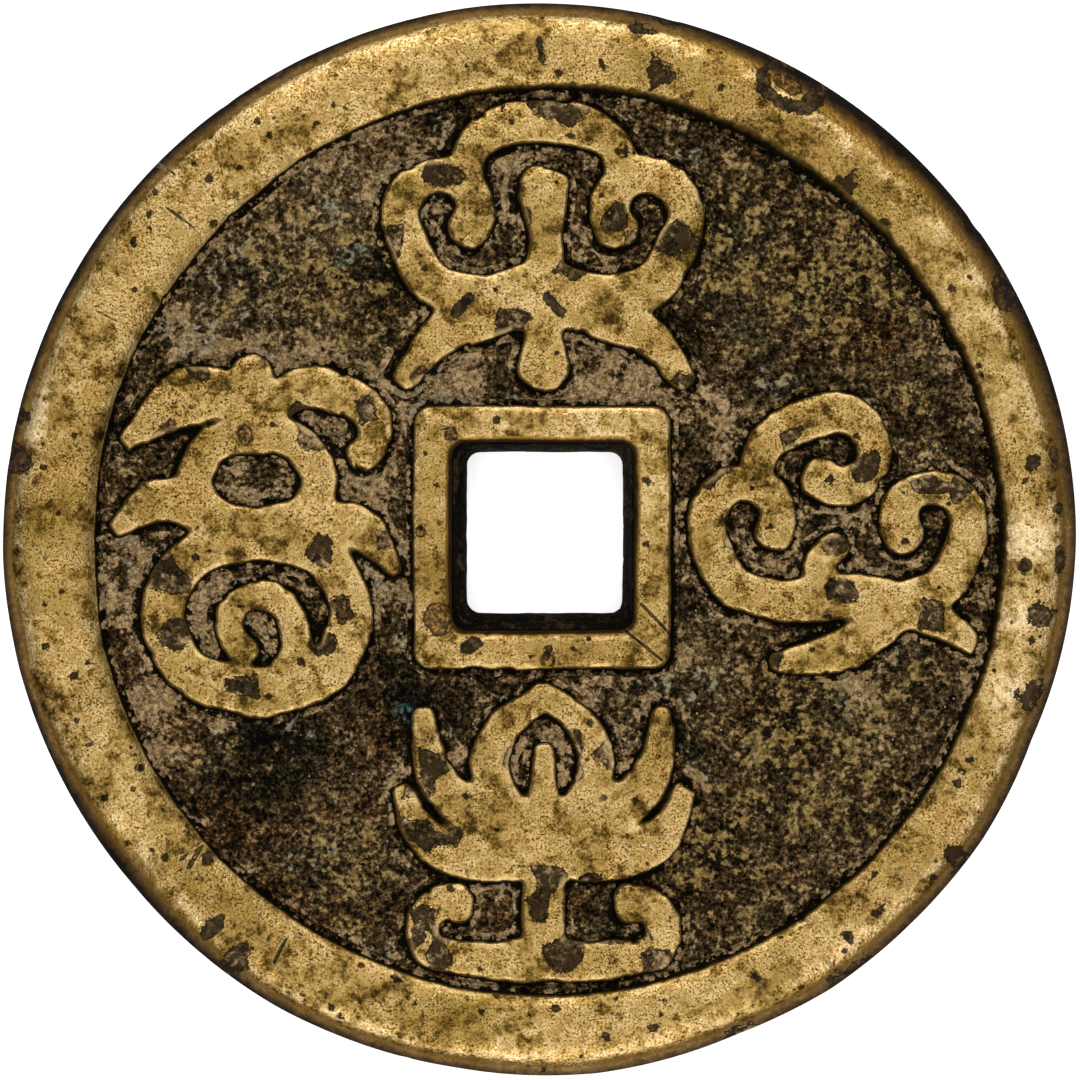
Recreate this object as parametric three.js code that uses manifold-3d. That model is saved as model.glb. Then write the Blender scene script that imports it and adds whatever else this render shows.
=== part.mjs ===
// A large cast brass cash coin, lying on its reverse. It has a round flan with a square centre hole,
// a raised outer rim and a raised inner rim on each face, and four relief ornaments round the hole.
// Millimetres, +Z up. The origin is the centre of the coin's outline, on the plane that it lies on.
import * as THREE from "three";
import { mergeVertices } from "three/addons/utils/BufferGeometryUtils.js";
import Module from "manifold-3d";

// Flan and rims. A rim's width is measured at its foot, with the field's circle central.
const coinDiameter = 50;
const flanThickness = 2.4;
const outerRimRelief = 0.6;
const innerRimRelief = 0.54;
const obverseRimWidth = 4;
const reverseRimWidth = 4.3;
const obverseFieldShift = new THREE.Vector2(0.3, -0.1);
const reverseFieldShift = new THREE.Vector2(-0.2, 0.1);
const outerEdgeWear = { width: 1, height: 0.5 };
const castDraft = 0.16;
const crownWear = 0.12;
const circleSteps = 120;
const wearSteps = 4;

// Square hole and the frame round it
const holeThroat = new THREE.Vector2(7.3, 7.55);
const holeThroatShift = new THREE.Vector2(0.22, 0.34);
const obverseMouthFlare = 0.66;
const reverseMouthFlare = 0.32;
const throatLength = 1.1;
const holeCornerRadius = 0.6;
const frameWidth = 1.58;
const frameCornerRadius = 0.9;
const frameShift = new THREE.Vector2(0.12, 0.12);
const cornerSteps = 5;
const cutterOverrun = 1;

// Relief ornaments
const ornamentRelief = 0.48;
const ornamentClearance = 0.4;
const strokeWidth = 1.6;
const strokeStep = 0.7;
const curlTightness = 0.8;
const curlStep = Math.PI / 6;
const tipSteps = 3;
const cloudWidth = 14.8;
const scrollHeight = 12.4;
const lotusWidth = 12.6;
const gourdHeight = 16.6;

// Planes across the coin, from the reverse up
const flanBottom = outerRimRelief;
const flanTop = flanBottom + flanThickness;
const coinRadius = coinDiameter / 2;
const coinTop = flanTop + outerRimRelief;
const obverseFieldRadius = coinRadius - obverseRimWidth;
const reverseFieldRadius = coinRadius - reverseRimWidth;

const wasm = await Module();
wasm.setup();

// A closed geometry as a solid that can be joined and cut.
function solidOf(geometry) {
  const bare = geometry.clone();
  bare.deleteAttribute("normal");
  bare.deleteAttribute("uv");
  const merged = mergeVertices(bare, 1e-5);
  return new wasm.Manifold(
    new wasm.Mesh({
      numProp: 3,
      vertProperties: new Float32Array(merged.attributes.position.array),
      triVerts: new Uint32Array(merged.index.array),
    }),
  );
}

function geometryOf(solid) {
  const { vertProperties, triVerts } = solid.getMesh();
  const geometry = new THREE.BufferGeometry();
  geometry.setAttribute("position", new THREE.BufferAttribute(vertProperties, 3));
  geometry.setIndex(new THREE.BufferAttribute(triVerts, 1));
  geometry.computeVertexNormals();
  return geometry;
}

// A closed skin through convex rings of equal length. Each ring turns counterclockwise about the way
// that the rings advance.
function loft(rings) {
  const count = rings[0].length;
  const index = [];
  for (let row = 0; row + 1 < rings.length; row += 1) {
    for (let i = 0; i < count; i += 1) {
      const a = row * count + i;
      const b = row * count + ((i + 1) % count);
      index.push(a, b, b + count, a, b + count, a + count);
    }
  }
  const last = (rings.length - 1) * count;
  for (let i = 1; i + 1 < count; i += 1) {
    index.push(0, i + 1, i);
    index.push(last, last + i, last + i + 1);
  }
  const geometry = new THREE.BufferGeometry().setFromPoints(rings.flat());
  geometry.setIndex(index);
  return geometry;
}

// One level of a square with rounded corners.
function roundedSquare(size, cornerRadius, centre, z) {
  const corners = [[1, 1], [-1, 1], [-1, -1], [1, -1]];
  return corners.flatMap(([sideX, sideY], quarter) =>
    Array.from({ length: cornerSteps + 1 }, (_, step) => {
      const angle = (quarter + step / cornerSteps) * (Math.PI / 2);
      const x = sideX * (size.x / 2 - cornerRadius) + cornerRadius * Math.cos(angle);
      const y = sideY * (size.y / 2 - cornerRadius) + cornerRadius * Math.sin(angle);
      return new THREE.Vector3(centre.x + x, centre.y + y, z);
    }),
  );
}

function grown(size, margin) {
  return size.clone().addScalar(2 * margin);
}

// A solid of revolution about Z, from [radius, height] pairs that start and end on the axis.
function turned(profile, centre = new THREE.Vector2()) {
  const points = profile.map(([radius, height]) => new THREE.Vector2(radius, height));
  const geometry = new THREE.LatheGeometry(points, circleSteps);
  geometry.rotateX(Math.PI / 2);
  geometry.translate(centre.x, centre.y, 0);
  return solidOf(geometry);
}

// Square hole: a throat in the middle of the thickness that flares to a mouth on each face.
const obverseMouth = grown(holeThroat, obverseMouthFlare);
const reverseMouth = grown(holeThroat, reverseMouthFlare);
const throatLow = (coinTop - throatLength) / 2;
const throatHigh = (coinTop + throatLength) / 2;

function holeCutter() {
  const levels = [
    [-cutterOverrun, reverseMouth, frameShift],
    [0, reverseMouth, frameShift],
    [throatLow, holeThroat, holeThroatShift],
    [throatHigh, holeThroat, holeThroatShift],
    [coinTop, obverseMouth, frameShift],
    [coinTop + cutterOverrun, obverseMouth, frameShift],
  ];
  return solidOf(
    loft(levels.map(([z, size, centre]) => roundedSquare(size, holeCornerRadius, centre, z))),
  );
}
const hole = holeCutter();

// Flan: the plate that carries the rims and the ornaments.
function flan() {
  const disc = turned([
    [0, flanBottom],
    [coinRadius, flanBottom],
    [coinRadius, flanTop],
    [0, flanTop],
  ]);
  return disc.subtract(hole);
}

// Heights are measured from the flan outwards, and side is +1 on the obverse and -1 on the reverse.
function levelOn(side, height) {
  return side > 0 ? flanTop + height : flanBottom - height;
}

function turnedOn(side, profile, centre) {
  const placed = profile.map(([radius, height]) => [radius, levelOn(side, height)]);
  return turned(side > 0 ? placed : placed.reverse(), centre);
}

// Outer rim: a ring with a worn outer edge and a drafted inner wall.
function outerRim(side, fieldRadius, fieldShift) {
  const edge = Array.from({ length: wearSteps + 1 }, (_, step) => {
    const angle = (step / wearSteps) * (Math.PI / 2);
    return [
      coinRadius - outerEdgeWear.width * (1 - Math.cos(angle)),
      outerRimRelief - outerEdgeWear.height * (1 - Math.sin(angle)),
    ];
  });
  const disc = turnedOn(side, [[0, 0], [coinRadius, 0], ...edge, [0, outerRimRelief]]);
  const slope = castDraft / outerRimRelief;
  const opening = turnedOn(
    side,
    [
      [0, -cutterOverrun],
      [fieldRadius - slope * cutterOverrun, -cutterOverrun],
      [fieldRadius + slope * (outerRimRelief - crownWear), outerRimRelief - crownWear],
      [fieldRadius + castDraft + crownWear, outerRimRelief],
      [fieldRadius + castDraft + crownWear, outerRimRelief + cutterOverrun],
      [0, outerRimRelief + cutterOverrun],
    ],
    fieldShift,
  );
  return disc.subtract(opening);
}

// Inner rim: the raised square frame round the hole.
function innerRim(side, mouth) {
  const size = grown(mouth, frameWidth);
  const levels = [
    [0, castDraft],
    [innerRimRelief - crownWear, 0],
    [innerRimRelief, -crownWear],
  ];
  const rings = levels.map(([height, margin]) =>
    roundedSquare(grown(size, margin), frameCornerRadius, frameShift, levelOn(side, height)),
  );
  return solidOf(loft(side > 0 ? rings : rings.reverse())).subtract(hole);
}

// The half-widths and heights of a stroke's section, foot to crown: a drafted wall and a worn edge.
const strokeSection = [
  [castDraft, 0],
  [0, ornamentRelief - crownWear],
  [-crownWear, ornamentRelief],
];

function strokeRing(point, tangent, halfWidth) {
  const left = new THREE.Vector2(-tangent.y, tangent.x);
  const side = (sign) =>
    strokeSection.map(([margin, height]) => {
      const reach = sign * Math.max(halfWidth + margin, crownWear / 2);
      return new THREE.Vector3(point.x + left.x * reach, point.y + left.y * reach, flanTop + height);
    });
  return [...side(1), ...side(-1).reverse()];
}

// Carries a path on from its end in a curl that winds inwards, to the left where turn is positive. Its
// radius goes from wide to the curl's tightness, both in stroke widths.
function curled(points, { turn, wide }) {
  const steps = Math.round(Math.abs(turn) / curlStep);
  const bend = turn / steps;
  const point = points.at(-1).clone();
  let heading = point.clone().sub(points.at(-2)).angle() + bend / 2;
  const added = Array.from({ length: steps }, (_, i) => {
    const radius = strokeWidth * THREE.MathUtils.lerp(wide, curlTightness, i / steps);
    const stride = radius * Math.abs(bend);
    point.add(new THREE.Vector2(stride * Math.cos(heading), stride * Math.sin(heading)));
    heading += bend;
    return point.clone();
  });
  return [...points, ...added];
}

// A brush stroke in relief along a smooth path, with widths that swell and thin and round tips.
function brushStroke(points, widths) {
  const flat = points.map((p) => new THREE.Vector3(p.x, p.y, 0));
  const path = new THREE.CatmullRomCurve3(flat, false, "centripetal");
  const steps = Math.max(3, Math.round(path.getLength() / strokeStep));
  const halfWidthAt = (share) => {
    const place = share * (widths.length - 1);
    const i = Math.min(Math.floor(place), widths.length - 2);
    return (strokeWidth / 2) * THREE.MathUtils.lerp(widths[i], widths[i + 1], place - i);
  };
  const tip = (end, sign) => {
    const point = path.getPointAt(end);
    const tangent = path.getTangentAt(end);
    const halfWidth = halfWidthAt(end);
    return Array.from({ length: tipSteps }, (_, i) => {
      const angle = ((i + 1) / (tipSteps + 0.4)) * (Math.PI / 2);
      const place = point.clone().addScaledVector(tangent, sign * halfWidth * Math.sin(angle));
      return strokeRing(place, tangent, halfWidth * Math.cos(angle));
    });
  };
  const body = Array.from({ length: steps + 1 }, (_, i) => {
    const share = i / steps;
    return strokeRing(path.getPointAt(share), path.getTangentAt(share), halfWidthAt(share));
  });
  return solidOf(loft([...tip(0, -1).reverse(), ...body, ...tip(1, 1)]));
}

// Each motif is a list of strokes in its own box, from -1 to 1 each way, with widths as shares of
// the stroke width. A mirrored stroke is drawn on both sides of the motif's upright axis.
const cloudMotif = [
  { path: [[0, -0.22], [-0.36, -0.36], [-0.7, -0.26], [-0.86, 0.04]], widths: [1.1, 1.2, 1.1, 0.9, 1.15],
    curl: { turn: -1.4 * Math.PI, wide: 1.3 }, mirrored: true },
  { path: [[-0.52, 0.4], [-0.42, 0.7], [0, 0.84], [0.42, 0.7], [0.52, 0.4]], widths: [0.8, 1.25, 0.8] },
  { path: [[0, 0.38], [0.02, 0.08], [0, -0.3], [0, -0.58], [0, -0.82]], widths: [1.4, 0.9, 1.1, 0.8, 1.5] },
  { path: [[0, -0.4], [-0.36, -0.48], [-0.64, -0.6], [-0.88, -0.9]], widths: [1, 1.3, 0.6], mirrored: true },
];
const scrollMotif = [
  { path: [[-0.6, -0.42], [-0.3, -0.48], [0.1, -0.44], [0.5, -0.54], [0.94, -0.84]],
    widths: [1, 1.2, 1.2, 1.1, 0.4] },
  { path: [[-0.4, -0.48], [-0.7, -0.36], [-0.84, -0.04]], widths: [1.1, 1.1, 1, 0.85, 1.1],
    curl: { turn: -1.35 * Math.PI, wide: 1.25 } },
  { path: [[0.34, -0.5], [0.68, -0.36], [0.82, -0.06]], widths: [1, 1.15, 1.05, 0.9, 1.1],
    curl: { turn: 1.35 * Math.PI, wide: 1.2 } },
  { path: [[-0.56, 0.38], [-0.46, 0.72], [-0.16, 0.9]], widths: [0.8, 1.1, 1.1, 0.9, 1.1],
    curl: { turn: -1.4 * Math.PI, wide: 1.25 } },
  { path: [[-0.08, -0.42], [-0.13, -0.2], [-0.02, -0.06]], widths: [1.1, 0.9, 0.8] },
  { path: [[-0.4, -0.94], [0.04, -0.84], [0.38, -0.56]], widths: [0.5, 1.15, 1] },
];
const lotusMotif = [
  { path: [[0, 0.87], [-0.3, 0.66], [-0.4, 0.38], [-0.24, 0.12], [0, 0.02]],
    widths: [0.7, 1, 1], mirrored: true },
  { path: [[0, 0.52], [0, 0.1]], widths: [0.5, 0.9] },
  { path: [[-0.16, 0], [-0.58, 0.14], [-0.82, 0.4], [-0.88, 0.76]],
    widths: [0.9, 1.2, 1, 0.5], mirrored: true },
  { path: [[0, -0.17], [-0.5, -0.19], [-0.88, -0.05], [-1.04, 0.25]],
    widths: [1.2, 1.2, 1.1, 0.5], mirrored: true },
  { path: [[0, 0.02], [0, -0.84]], widths: [1.1, 1.2] },
  { path: [[0, -0.84], [-0.4, -0.88], [-0.72, -0.84]], widths: [1.2, 1.15, 0.9, 1.05],
    curl: { turn: -1.05 * Math.PI, wide: 0.8 }, mirrored: true },
];
const gourdMotif = [
  { path: [[0, 0], [-0.42, -0.1], [-0.63, -0.42], [-0.46, -0.76], [0, -0.88]], widths: [1.1, 1.15, 1.3],
    mirrored: true },
  { path: [[0.12, -0.84], [0.26, -0.66], [0.25, -0.5]], widths: [0.9, 0.8, 0.7, 0.8],
    curl: { turn: 1.35 * Math.PI, wide: 1 } },
  { path: [[0, 0.04], [-0.3, 0.12], [-0.42, 0.32], [-0.28, 0.52], [0, 0.6]], widths: [1.1, 1, 1],
    mirrored: true },
  { path: [[0, 0.56], [0.03, 0.74], [-0.04, 0.92]], widths: [1.1, 0.85, 1.1] },
  { path: [[0.02, 0.7], [0.34, 0.84], [0.62, 0.78]], widths: [0.9, 1.15, 1, 0.9],
    curl: { turn: -0.75 * Math.PI, wide: 1 } },
  { path: [[0.02, 0.74], [-0.4, 0.8], [-0.86, 0.54]], widths: [0.8, 1.7, 0.5] },
  { path: [[-0.32, 0.08], [-0.64, 0.22], [-0.94, 0.04]], widths: [0.7, 1.3, 0.4] },
  { path: [[0.32, 0.06], [0.66, 0.06], [0.92, -0.18]], widths: [0.7, 1.35, 0.4] },
];

const up = new THREE.Vector2(0, 1);
const right = new THREE.Vector2(1, 0);

// The clear band of the field on one side of the square frame, from the frame's foot to the rim's foot.
function bandOn(direction) {
  const frameHalf = grown(obverseMouth, frameWidth + castDraft).multiplyScalar(0.5);
  const inner = frameShift.dot(direction) + Math.abs(frameHalf.dot(direction)) + ornamentClearance;
  const outer = obverseFieldShift.dot(direction) + obverseFieldRadius - ornamentClearance;
  return { middle: (inner + outer) / 2, half: (outer - inner) / 2 };
}

// An ornament fills its band from frame to rim and is as long across the band as its own size says.
// What would reach the rim or the frame is cut back to the clearance.
function ornament(motif, direction, length) {
  const band = bandOn(direction);
  const centre = direction.clone().multiplyScalar(band.middle).add(frameShift);
  const half = direction.x
    ? new THREE.Vector2(band.half, length / 2)
    : new THREE.Vector2(length / 2, band.half);
  const placed = ({ path, widths, curl }, mirror) => {
    const points = path.map(
      ([u, v]) => new THREE.Vector2(centre.x + mirror * u * half.x, centre.y + v * half.y),
    );
    return brushStroke(curl ? curled(points, { ...curl, turn: mirror * curl.turn }) : points, widths);
  };
  const strokes = motif.flatMap((stroke) =>
    stroke.mirrored ? [placed(stroke, 1), placed(stroke, -1)] : [placed(stroke, 1)],
  );
  const joined = strokes.reduce((whole, stroke) => whole.add(stroke));
  const clearRadius = obverseFieldRadius - ornamentClearance;
  const clearField = turned(
    [
      [0, flanTop - cutterOverrun],
      [clearRadius, flanTop - cutterOverrun],
      [clearRadius, coinTop + cutterOverrun],
      [0, coinTop + cutterOverrun],
    ],
    obverseFieldShift,
  );
  const frameReach = grown(obverseMouth, frameWidth + castDraft + ornamentClearance);
  const frameClearance = [flanTop - cutterOverrun, coinTop + cutterOverrun].map((z) =>
    roundedSquare(frameReach, frameCornerRadius, frameShift, z),
  );
  return joined.intersect(clearField).subtract(solidOf(loft(frameClearance)));
}

// Finishes: bare brass where hands have rubbed the high parts, dark patina on the sunken field.
const rubbedBrass = new THREE.MeshStandardMaterial({ color: 0xa88a4e, roughness: 0.42, metalness: 0.9 });
const patinatedBrass = new THREE.MeshStandardMaterial({ color: 0x4a3d2c, roughness: 0.72, metalness: 0.5 });

const pieces = [
  ["flan", flan(), patinatedBrass],
  ["obverse_outer_rim", outerRim(1, obverseFieldRadius, obverseFieldShift), rubbedBrass],
  ["reverse_outer_rim", outerRim(-1, reverseFieldRadius, reverseFieldShift), rubbedBrass],
  ["obverse_inner_rim", innerRim(1, obverseMouth), rubbedBrass],
  ["reverse_inner_rim", innerRim(-1, reverseMouth), rubbedBrass],
  ["cloud_ornament", ornament(cloudMotif, up, cloudWidth), rubbedBrass],
  ["scroll_ornament", ornament(scrollMotif, right, scrollHeight), rubbedBrass],
  ["lotus_ornament", ornament(lotusMotif, up.clone().negate(), lotusWidth), rubbedBrass],
  ["gourd_ornament", ornament(gourdMotif, right.clone().negate(), gourdHeight), rubbedBrass],
];

const coin = new THREE.Group();
coin.name = "cash_coin";
for (const [name, solid, material] of pieces) {
  const mesh = new THREE.Mesh(geometryOf(solid), material);
  mesh.name = name;
  coin.add(mesh);
}

export default coin;
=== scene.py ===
import math

import bpy
import numpy as np
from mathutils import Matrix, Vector
from mathutils.bvhtree import BVHTree
from mathutils.kdtree import KDTree


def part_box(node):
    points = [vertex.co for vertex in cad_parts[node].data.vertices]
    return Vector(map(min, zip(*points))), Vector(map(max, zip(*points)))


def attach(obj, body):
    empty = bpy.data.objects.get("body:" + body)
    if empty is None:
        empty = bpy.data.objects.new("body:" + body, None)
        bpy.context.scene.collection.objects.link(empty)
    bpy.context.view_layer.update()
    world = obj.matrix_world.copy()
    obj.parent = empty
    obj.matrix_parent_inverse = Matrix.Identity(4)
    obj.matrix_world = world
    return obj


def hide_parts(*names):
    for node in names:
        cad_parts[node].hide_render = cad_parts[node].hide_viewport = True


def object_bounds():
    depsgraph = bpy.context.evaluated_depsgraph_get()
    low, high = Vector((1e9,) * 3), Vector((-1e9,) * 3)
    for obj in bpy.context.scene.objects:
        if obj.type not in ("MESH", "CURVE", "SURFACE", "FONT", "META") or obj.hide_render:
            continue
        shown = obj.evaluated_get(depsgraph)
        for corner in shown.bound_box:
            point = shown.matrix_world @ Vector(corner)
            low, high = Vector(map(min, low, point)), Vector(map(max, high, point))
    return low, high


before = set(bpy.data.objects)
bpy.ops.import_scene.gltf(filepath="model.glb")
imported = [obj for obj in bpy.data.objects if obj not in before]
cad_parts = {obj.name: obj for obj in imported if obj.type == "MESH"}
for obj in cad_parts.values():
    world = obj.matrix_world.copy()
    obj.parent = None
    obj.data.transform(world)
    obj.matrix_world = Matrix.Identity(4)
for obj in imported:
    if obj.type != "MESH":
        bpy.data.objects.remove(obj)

cad_low, cad_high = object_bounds()

# Flan. The cast plate of the coin, brass poured in a two-part sand mould, with a square hole that the
# mould's halves left flared towards each face. Its sunken fields keep the casting skin under a dark
# patina, and its edge was filed round and has worn smooth.
MM = 0.001
coin_radius = cad_high.x / MM
coin_top = cad_high.z / MM
flan_low, flan_high = (corner.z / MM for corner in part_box("flan"))
middle_height = (flan_low + flan_high) / 2
field_dip = 0.03
flan_steps = 880
field_rings = {"obverse": 78, "reverse": 15}
wall_rings = 8
edge_rings = 9
edge_under_rim = 0.22
under_relief = 0.3
relief_skirt = 0.42
skirt_start = 0.3
skirt_drop = 0.2
groove_depth = 0.07
field_groove = 0.22
relief_groove = 0.15


def cad_tree(node):
    """The solid of a node for ray casting, in millimetres."""
    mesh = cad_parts[node].data
    points = [vertex.co / MM for vertex in mesh.vertices]
    return BVHTree.FromPolygons(points, [tuple(face.vertices) for face in mesh.polygons])


def reach(tree, angles, height, inward=False):
    """How far from the coin's axis a solid begins in each direction, at one height."""
    far = 2 * coin_radius
    radii = []
    for angle in angles:
        way = Vector((math.cos(angle), math.sin(angle), 0))
        start = way * far if inward else Vector()
        start.z = height
        distance = tree.ray_cast(start, -way if inward else way)[3]
        radii.append(far - distance if inward else distance)
    return np.array(radii)


def turn(steps):
    """The angles of a full turn in even steps."""
    return np.arange(steps) * (2 * math.pi / steps)


def lattice_value(cell, seed):
    """A fixed random number from -1 to 1 for each lattice cell."""
    primes = np.array([374761393, 668265263, 974634777], np.int64)
    mixed_bits = (cell * primes).sum(-1) + seed * 362437
    mixed_bits = (mixed_bits ^ (mixed_bits >> 13)) & 0xFFFFFFFF
    mixed_bits = (mixed_bits * 1274126177) & 0xFFFFFFFF
    mixed_bits = mixed_bits ^ (mixed_bits >> 16)
    return mixed_bits / 0x7FFFFFFF - 1


def waves(points, size, seed):
    """Smooth random hills and hollows from -1 to 1, about one size across, at points in millimetres."""
    place = points / size + 512.5
    cell = np.floor(place).astype(np.int64)
    share = place - cell
    share = share * share * (3 - 2 * share)
    total = np.zeros(points.shape[:-1])
    for corner in np.ndindex(2, 2, 2):
        weight = np.prod(np.where(corner, share, 1 - share), axis=-1)
        total += weight * lattice_value(cell + np.array(corner), seed)
    return total


def smooth(low, high, value):
    """0 at low, 1 at high and smooth between them."""
    share = np.clip((value - low) / (high - low), 0, 1)
    return share * share * (3 - 2 * share)


def flat_points(x, y):
    """Points at height 0, for patterns that don't change with height."""
    return np.stack([x, y, np.zeros_like(x)], axis=-1)


def casting_skin(points):
    """The rough skin that the sand leaves, in millimetres out of the surface."""
    return (
        0.026 * waves(points, 2.6, 1)
        + 0.018 * waves(points, 0.9, 2)
        + 0.02 * waves(points, 0.38, 3)
        - 0.06 * smooth(0.55, 0.8, waves(points, 0.6, 4))
    )


def cells(points, size, seed):
    """Angular cells about one size across: each point's number, the next cell's and how far it is."""
    place = points / size + 512.5
    home = np.floor(place).astype(np.int64)
    nearest = np.full(points.shape[:-1], 9.0)
    second = nearest.copy()
    chance = np.zeros(points.shape[:-1])
    next_chance = chance.copy()
    for step_x, step_y in np.ndindex(3, 3):
        cell = home + np.array([step_x - 1, step_y - 1, 0])
        cell[..., 2] = 0
        middle_x = cell[..., 0] + 0.5 + 0.42 * lattice_value(cell, seed)
        middle_y = cell[..., 1] + 0.5 + 0.42 * lattice_value(cell, seed + 1)
        away = np.hypot(place[..., 0] - middle_x, place[..., 1] - middle_y)
        value = lattice_value(cell, seed + 2) / 2 + 0.5
        closer = away < nearest
        closer_than_second = away < second
        next_chance = np.where(closer, chance, np.where(closer_than_second, value, next_chance))
        second = np.where(closer, nearest, np.minimum(second, away))
        chance = np.where(closer, value, chance)
        nearest = np.where(closer, away, nearest)
    return chance, next_chance, (second - nearest) / 2 * size


flake_depth = 0.05


def chip_depth(points, share, seed):
    """Angular flakes lost from a rubbed surface: plus inside a flake and minus outside it, in millimetres."""
    bend = np.stack([waves(points, 0.7, seed + 5), waves(points, 0.7, seed + 6), 0 * points[..., 0]], axis=-1)
    chance, next_chance, border = cells(points + 0.22 * bend, 1.15, seed)
    lost, next_lost = chance < share, next_chance < share
    return np.where(lost, np.where(next_lost, 0.3, border), np.where(next_lost, -border, -0.3))


# Feet of the reliefs: where each raised part leaves the field, as radii that follow the angle
fine_turn = turn(2880)
foot_lift = 0.02
rim_solid = {"obverse": cad_tree("obverse_outer_rim"), "reverse": cad_tree("reverse_outer_rim")}
frame_solid = {"obverse": cad_tree("obverse_inner_rim"), "reverse": cad_tree("reverse_inner_rim")}
flan_solid = cad_tree("flan")
foot_level = {"obverse": flan_high + foot_lift, "reverse": flan_low - foot_lift}


def wobble(radii, amounts, seed):
    """An outline as a hand-cut mould leaves it, with soft waves and small bites."""
    line = flat_points(radii * np.cos(fine_turn), radii * np.sin(fine_turn))
    slow, quick, bites = amounts
    return (
        radii
        + slow * waves(line, 3.1, seed)
        + quick * waves(line, 0.7, seed + 1)
        - bites * smooth(0.5, 0.8, waves(line, 0.9, seed + 2))
    )


rim_foot = {
    side: wobble(reach(rim_solid[side], fine_turn, foot_level[side]), (0.08, 0.035, -0.1), 11)
    for side in rim_solid
}
frame_foot = {
    side: wobble(reach(frame_solid[side], fine_turn, foot_level[side], inward=True), (0.07, 0.05, 0.1), 17)
    for side in frame_solid
}


def along(radii, angles):
    """An outline's radius at any angle."""
    return np.interp(angles % (2 * math.pi), fine_turn, radii, period=2 * math.pi)


# How far the filed edge lies inside the full circle: its flats and bulges, in degrees and millimetres
edge_angles = np.radians(
    [0, 14, 38, 64, 90, 112, 140, 168, 184, 200, 220, 240, 260, 276, 292, 303, 314, 326, 338, 350]
)
edge_insets = [
    0.03, 0.02, 0.0, 0.02, 0.0, 0.02, 0.0, 0.02, 0.0, 0.07, 0.16, 0.06, 0.13, 0.03, 0.22, 0.1, 0.16, 0.12,
    0.28, 0.12,
]


def edge_radius(angles):
    """The coin's filed outline, with its flats and small nicks."""
    inset = np.interp(angles % (2 * math.pi), edge_angles, edge_insets, period=2 * math.pi)
    line = flat_points(coin_radius * np.cos(angles), coin_radius * np.sin(angles))
    nicks = 0.05 * smooth(0.55, 0.85, waves(line, 1.4, 91))
    return coin_radius - inset - 0.012 * (1 + waves(line, 2.6, 92)) - nicks


# The bevel inside the filed edge, by angle: how dark it is painted, dirt with painted shade. The outer rims
# give its widths and slopes
bevel_angles = np.radians([0, 25, 45, 62, 80, 100, 125, 150, 180, 200, 215, 240, 265, 290, 315, 340])
bevel_dirt_and_shade = [0.4, 0.9, 1.2, 1.2, 0.6, 0.6, 0.9, 0.9, 0.4, 0.6, 1.0, 0.6, 0.2, 0.2, 0.5, 0.5]


def edge_dirt_and_shade(angles):
    """How dark the filed edge is painted, dirt with painted shade: golden brown at 0 and black at 1."""
    return np.interp(angles % (2 * math.pi), bevel_angles, bevel_dirt_and_shade, period=2 * math.pi)


def lean(radii):
    """Cosine of the angle between an outline's normal and the radius, at each fine step."""
    slope = (np.roll(radii, -1) - np.roll(radii, 1)) / (2 * (fine_turn[1] - fine_turn[0]))
    window = np.ones(9) / 9
    padded = np.concatenate([slope[-4:], slope, slope[:4]])
    slope = np.convolve(padded, window, "valid")
    return 1 / np.sqrt(1 + (slope / radii) ** 2)


frame_lean = {side: lean(frame_foot[side]) for side in frame_foot}

# Maps of the distance from each ornament's foot, in millimetres
ornament_nodes = ["cloud_ornament", "scroll_ornament", "lotus_ornament", "gourd_ornament"]
ornament_box = {node: [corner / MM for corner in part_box(node)] for node in ornament_nodes}
map_pitch = 0.05
map_margin = 1.6
map_softening = 14


def foot_outline(node, spacing=0.04):
    """Points along the edge of a relief solid's flat base."""
    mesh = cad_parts[node].data
    edges = {}
    for face in mesh.polygons:
        if face.normal.z > -0.9:
            continue
        corners = [tuple(round(c / MM, 4) for c in mesh.vertices[i].co) for i in face.vertices]
        for a, b in zip(corners, corners[1:] + corners[:1]):
            edges.setdefault(frozenset((a, b)), []).append((a, b))
    points = []
    for shared in edges.values():
        if len(shared) > 1:
            continue
        a, b = (Vector(corner) for corner in shared[0])
        count = max(1, round((b - a).length / spacing))
        points += [a.lerp(b, step / count) for step in range(count)]
    tree = KDTree(len(points))
    for i, point in enumerate(points):
        tree.insert((point.x, point.y, 0), i)
    tree.balance()
    return tree


def softened(grid, times):
    """A grid with its sharp turns rounded, as wear rounds a cut edge."""
    for _ in range(times):
        grid = np.pad(grid, 1, mode="edge")
        grid = (grid[:-2] + 2 * grid[1:-1] + grid[2:]) / 4
        grid = (grid[:, :-2] + 2 * grid[:, 1:-1] + grid[:, 2:]) / 4
    return grid


def distance_map(node):
    """Distances in millimetres from a relief's foot on a fine grid, minus inside it."""
    low, high = ornament_box[node]
    across = np.arange(low.x - map_margin, high.x + map_margin, map_pitch)
    up = np.arange(low.y - map_margin, high.y + map_margin, map_pitch)
    outline = foot_outline(node)
    solid = cad_tree(node)
    down = Vector((0, 0, -1))
    grid = np.empty((len(up), len(across)))
    for row, y in enumerate(up):
        for column, x in enumerate(across):
            away = outline.find((x, y, 0))[2]
            inside = solid.ray_cast(Vector((x, y, coin_top + 1)), down)[0]
            grid[row, column] = away if inside is None else -away
    return softened(np.minimum(grid, map_margin), map_softening), across[0], up[0]


ornament_map = {node: distance_map(node) for node in ornament_nodes}


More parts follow.
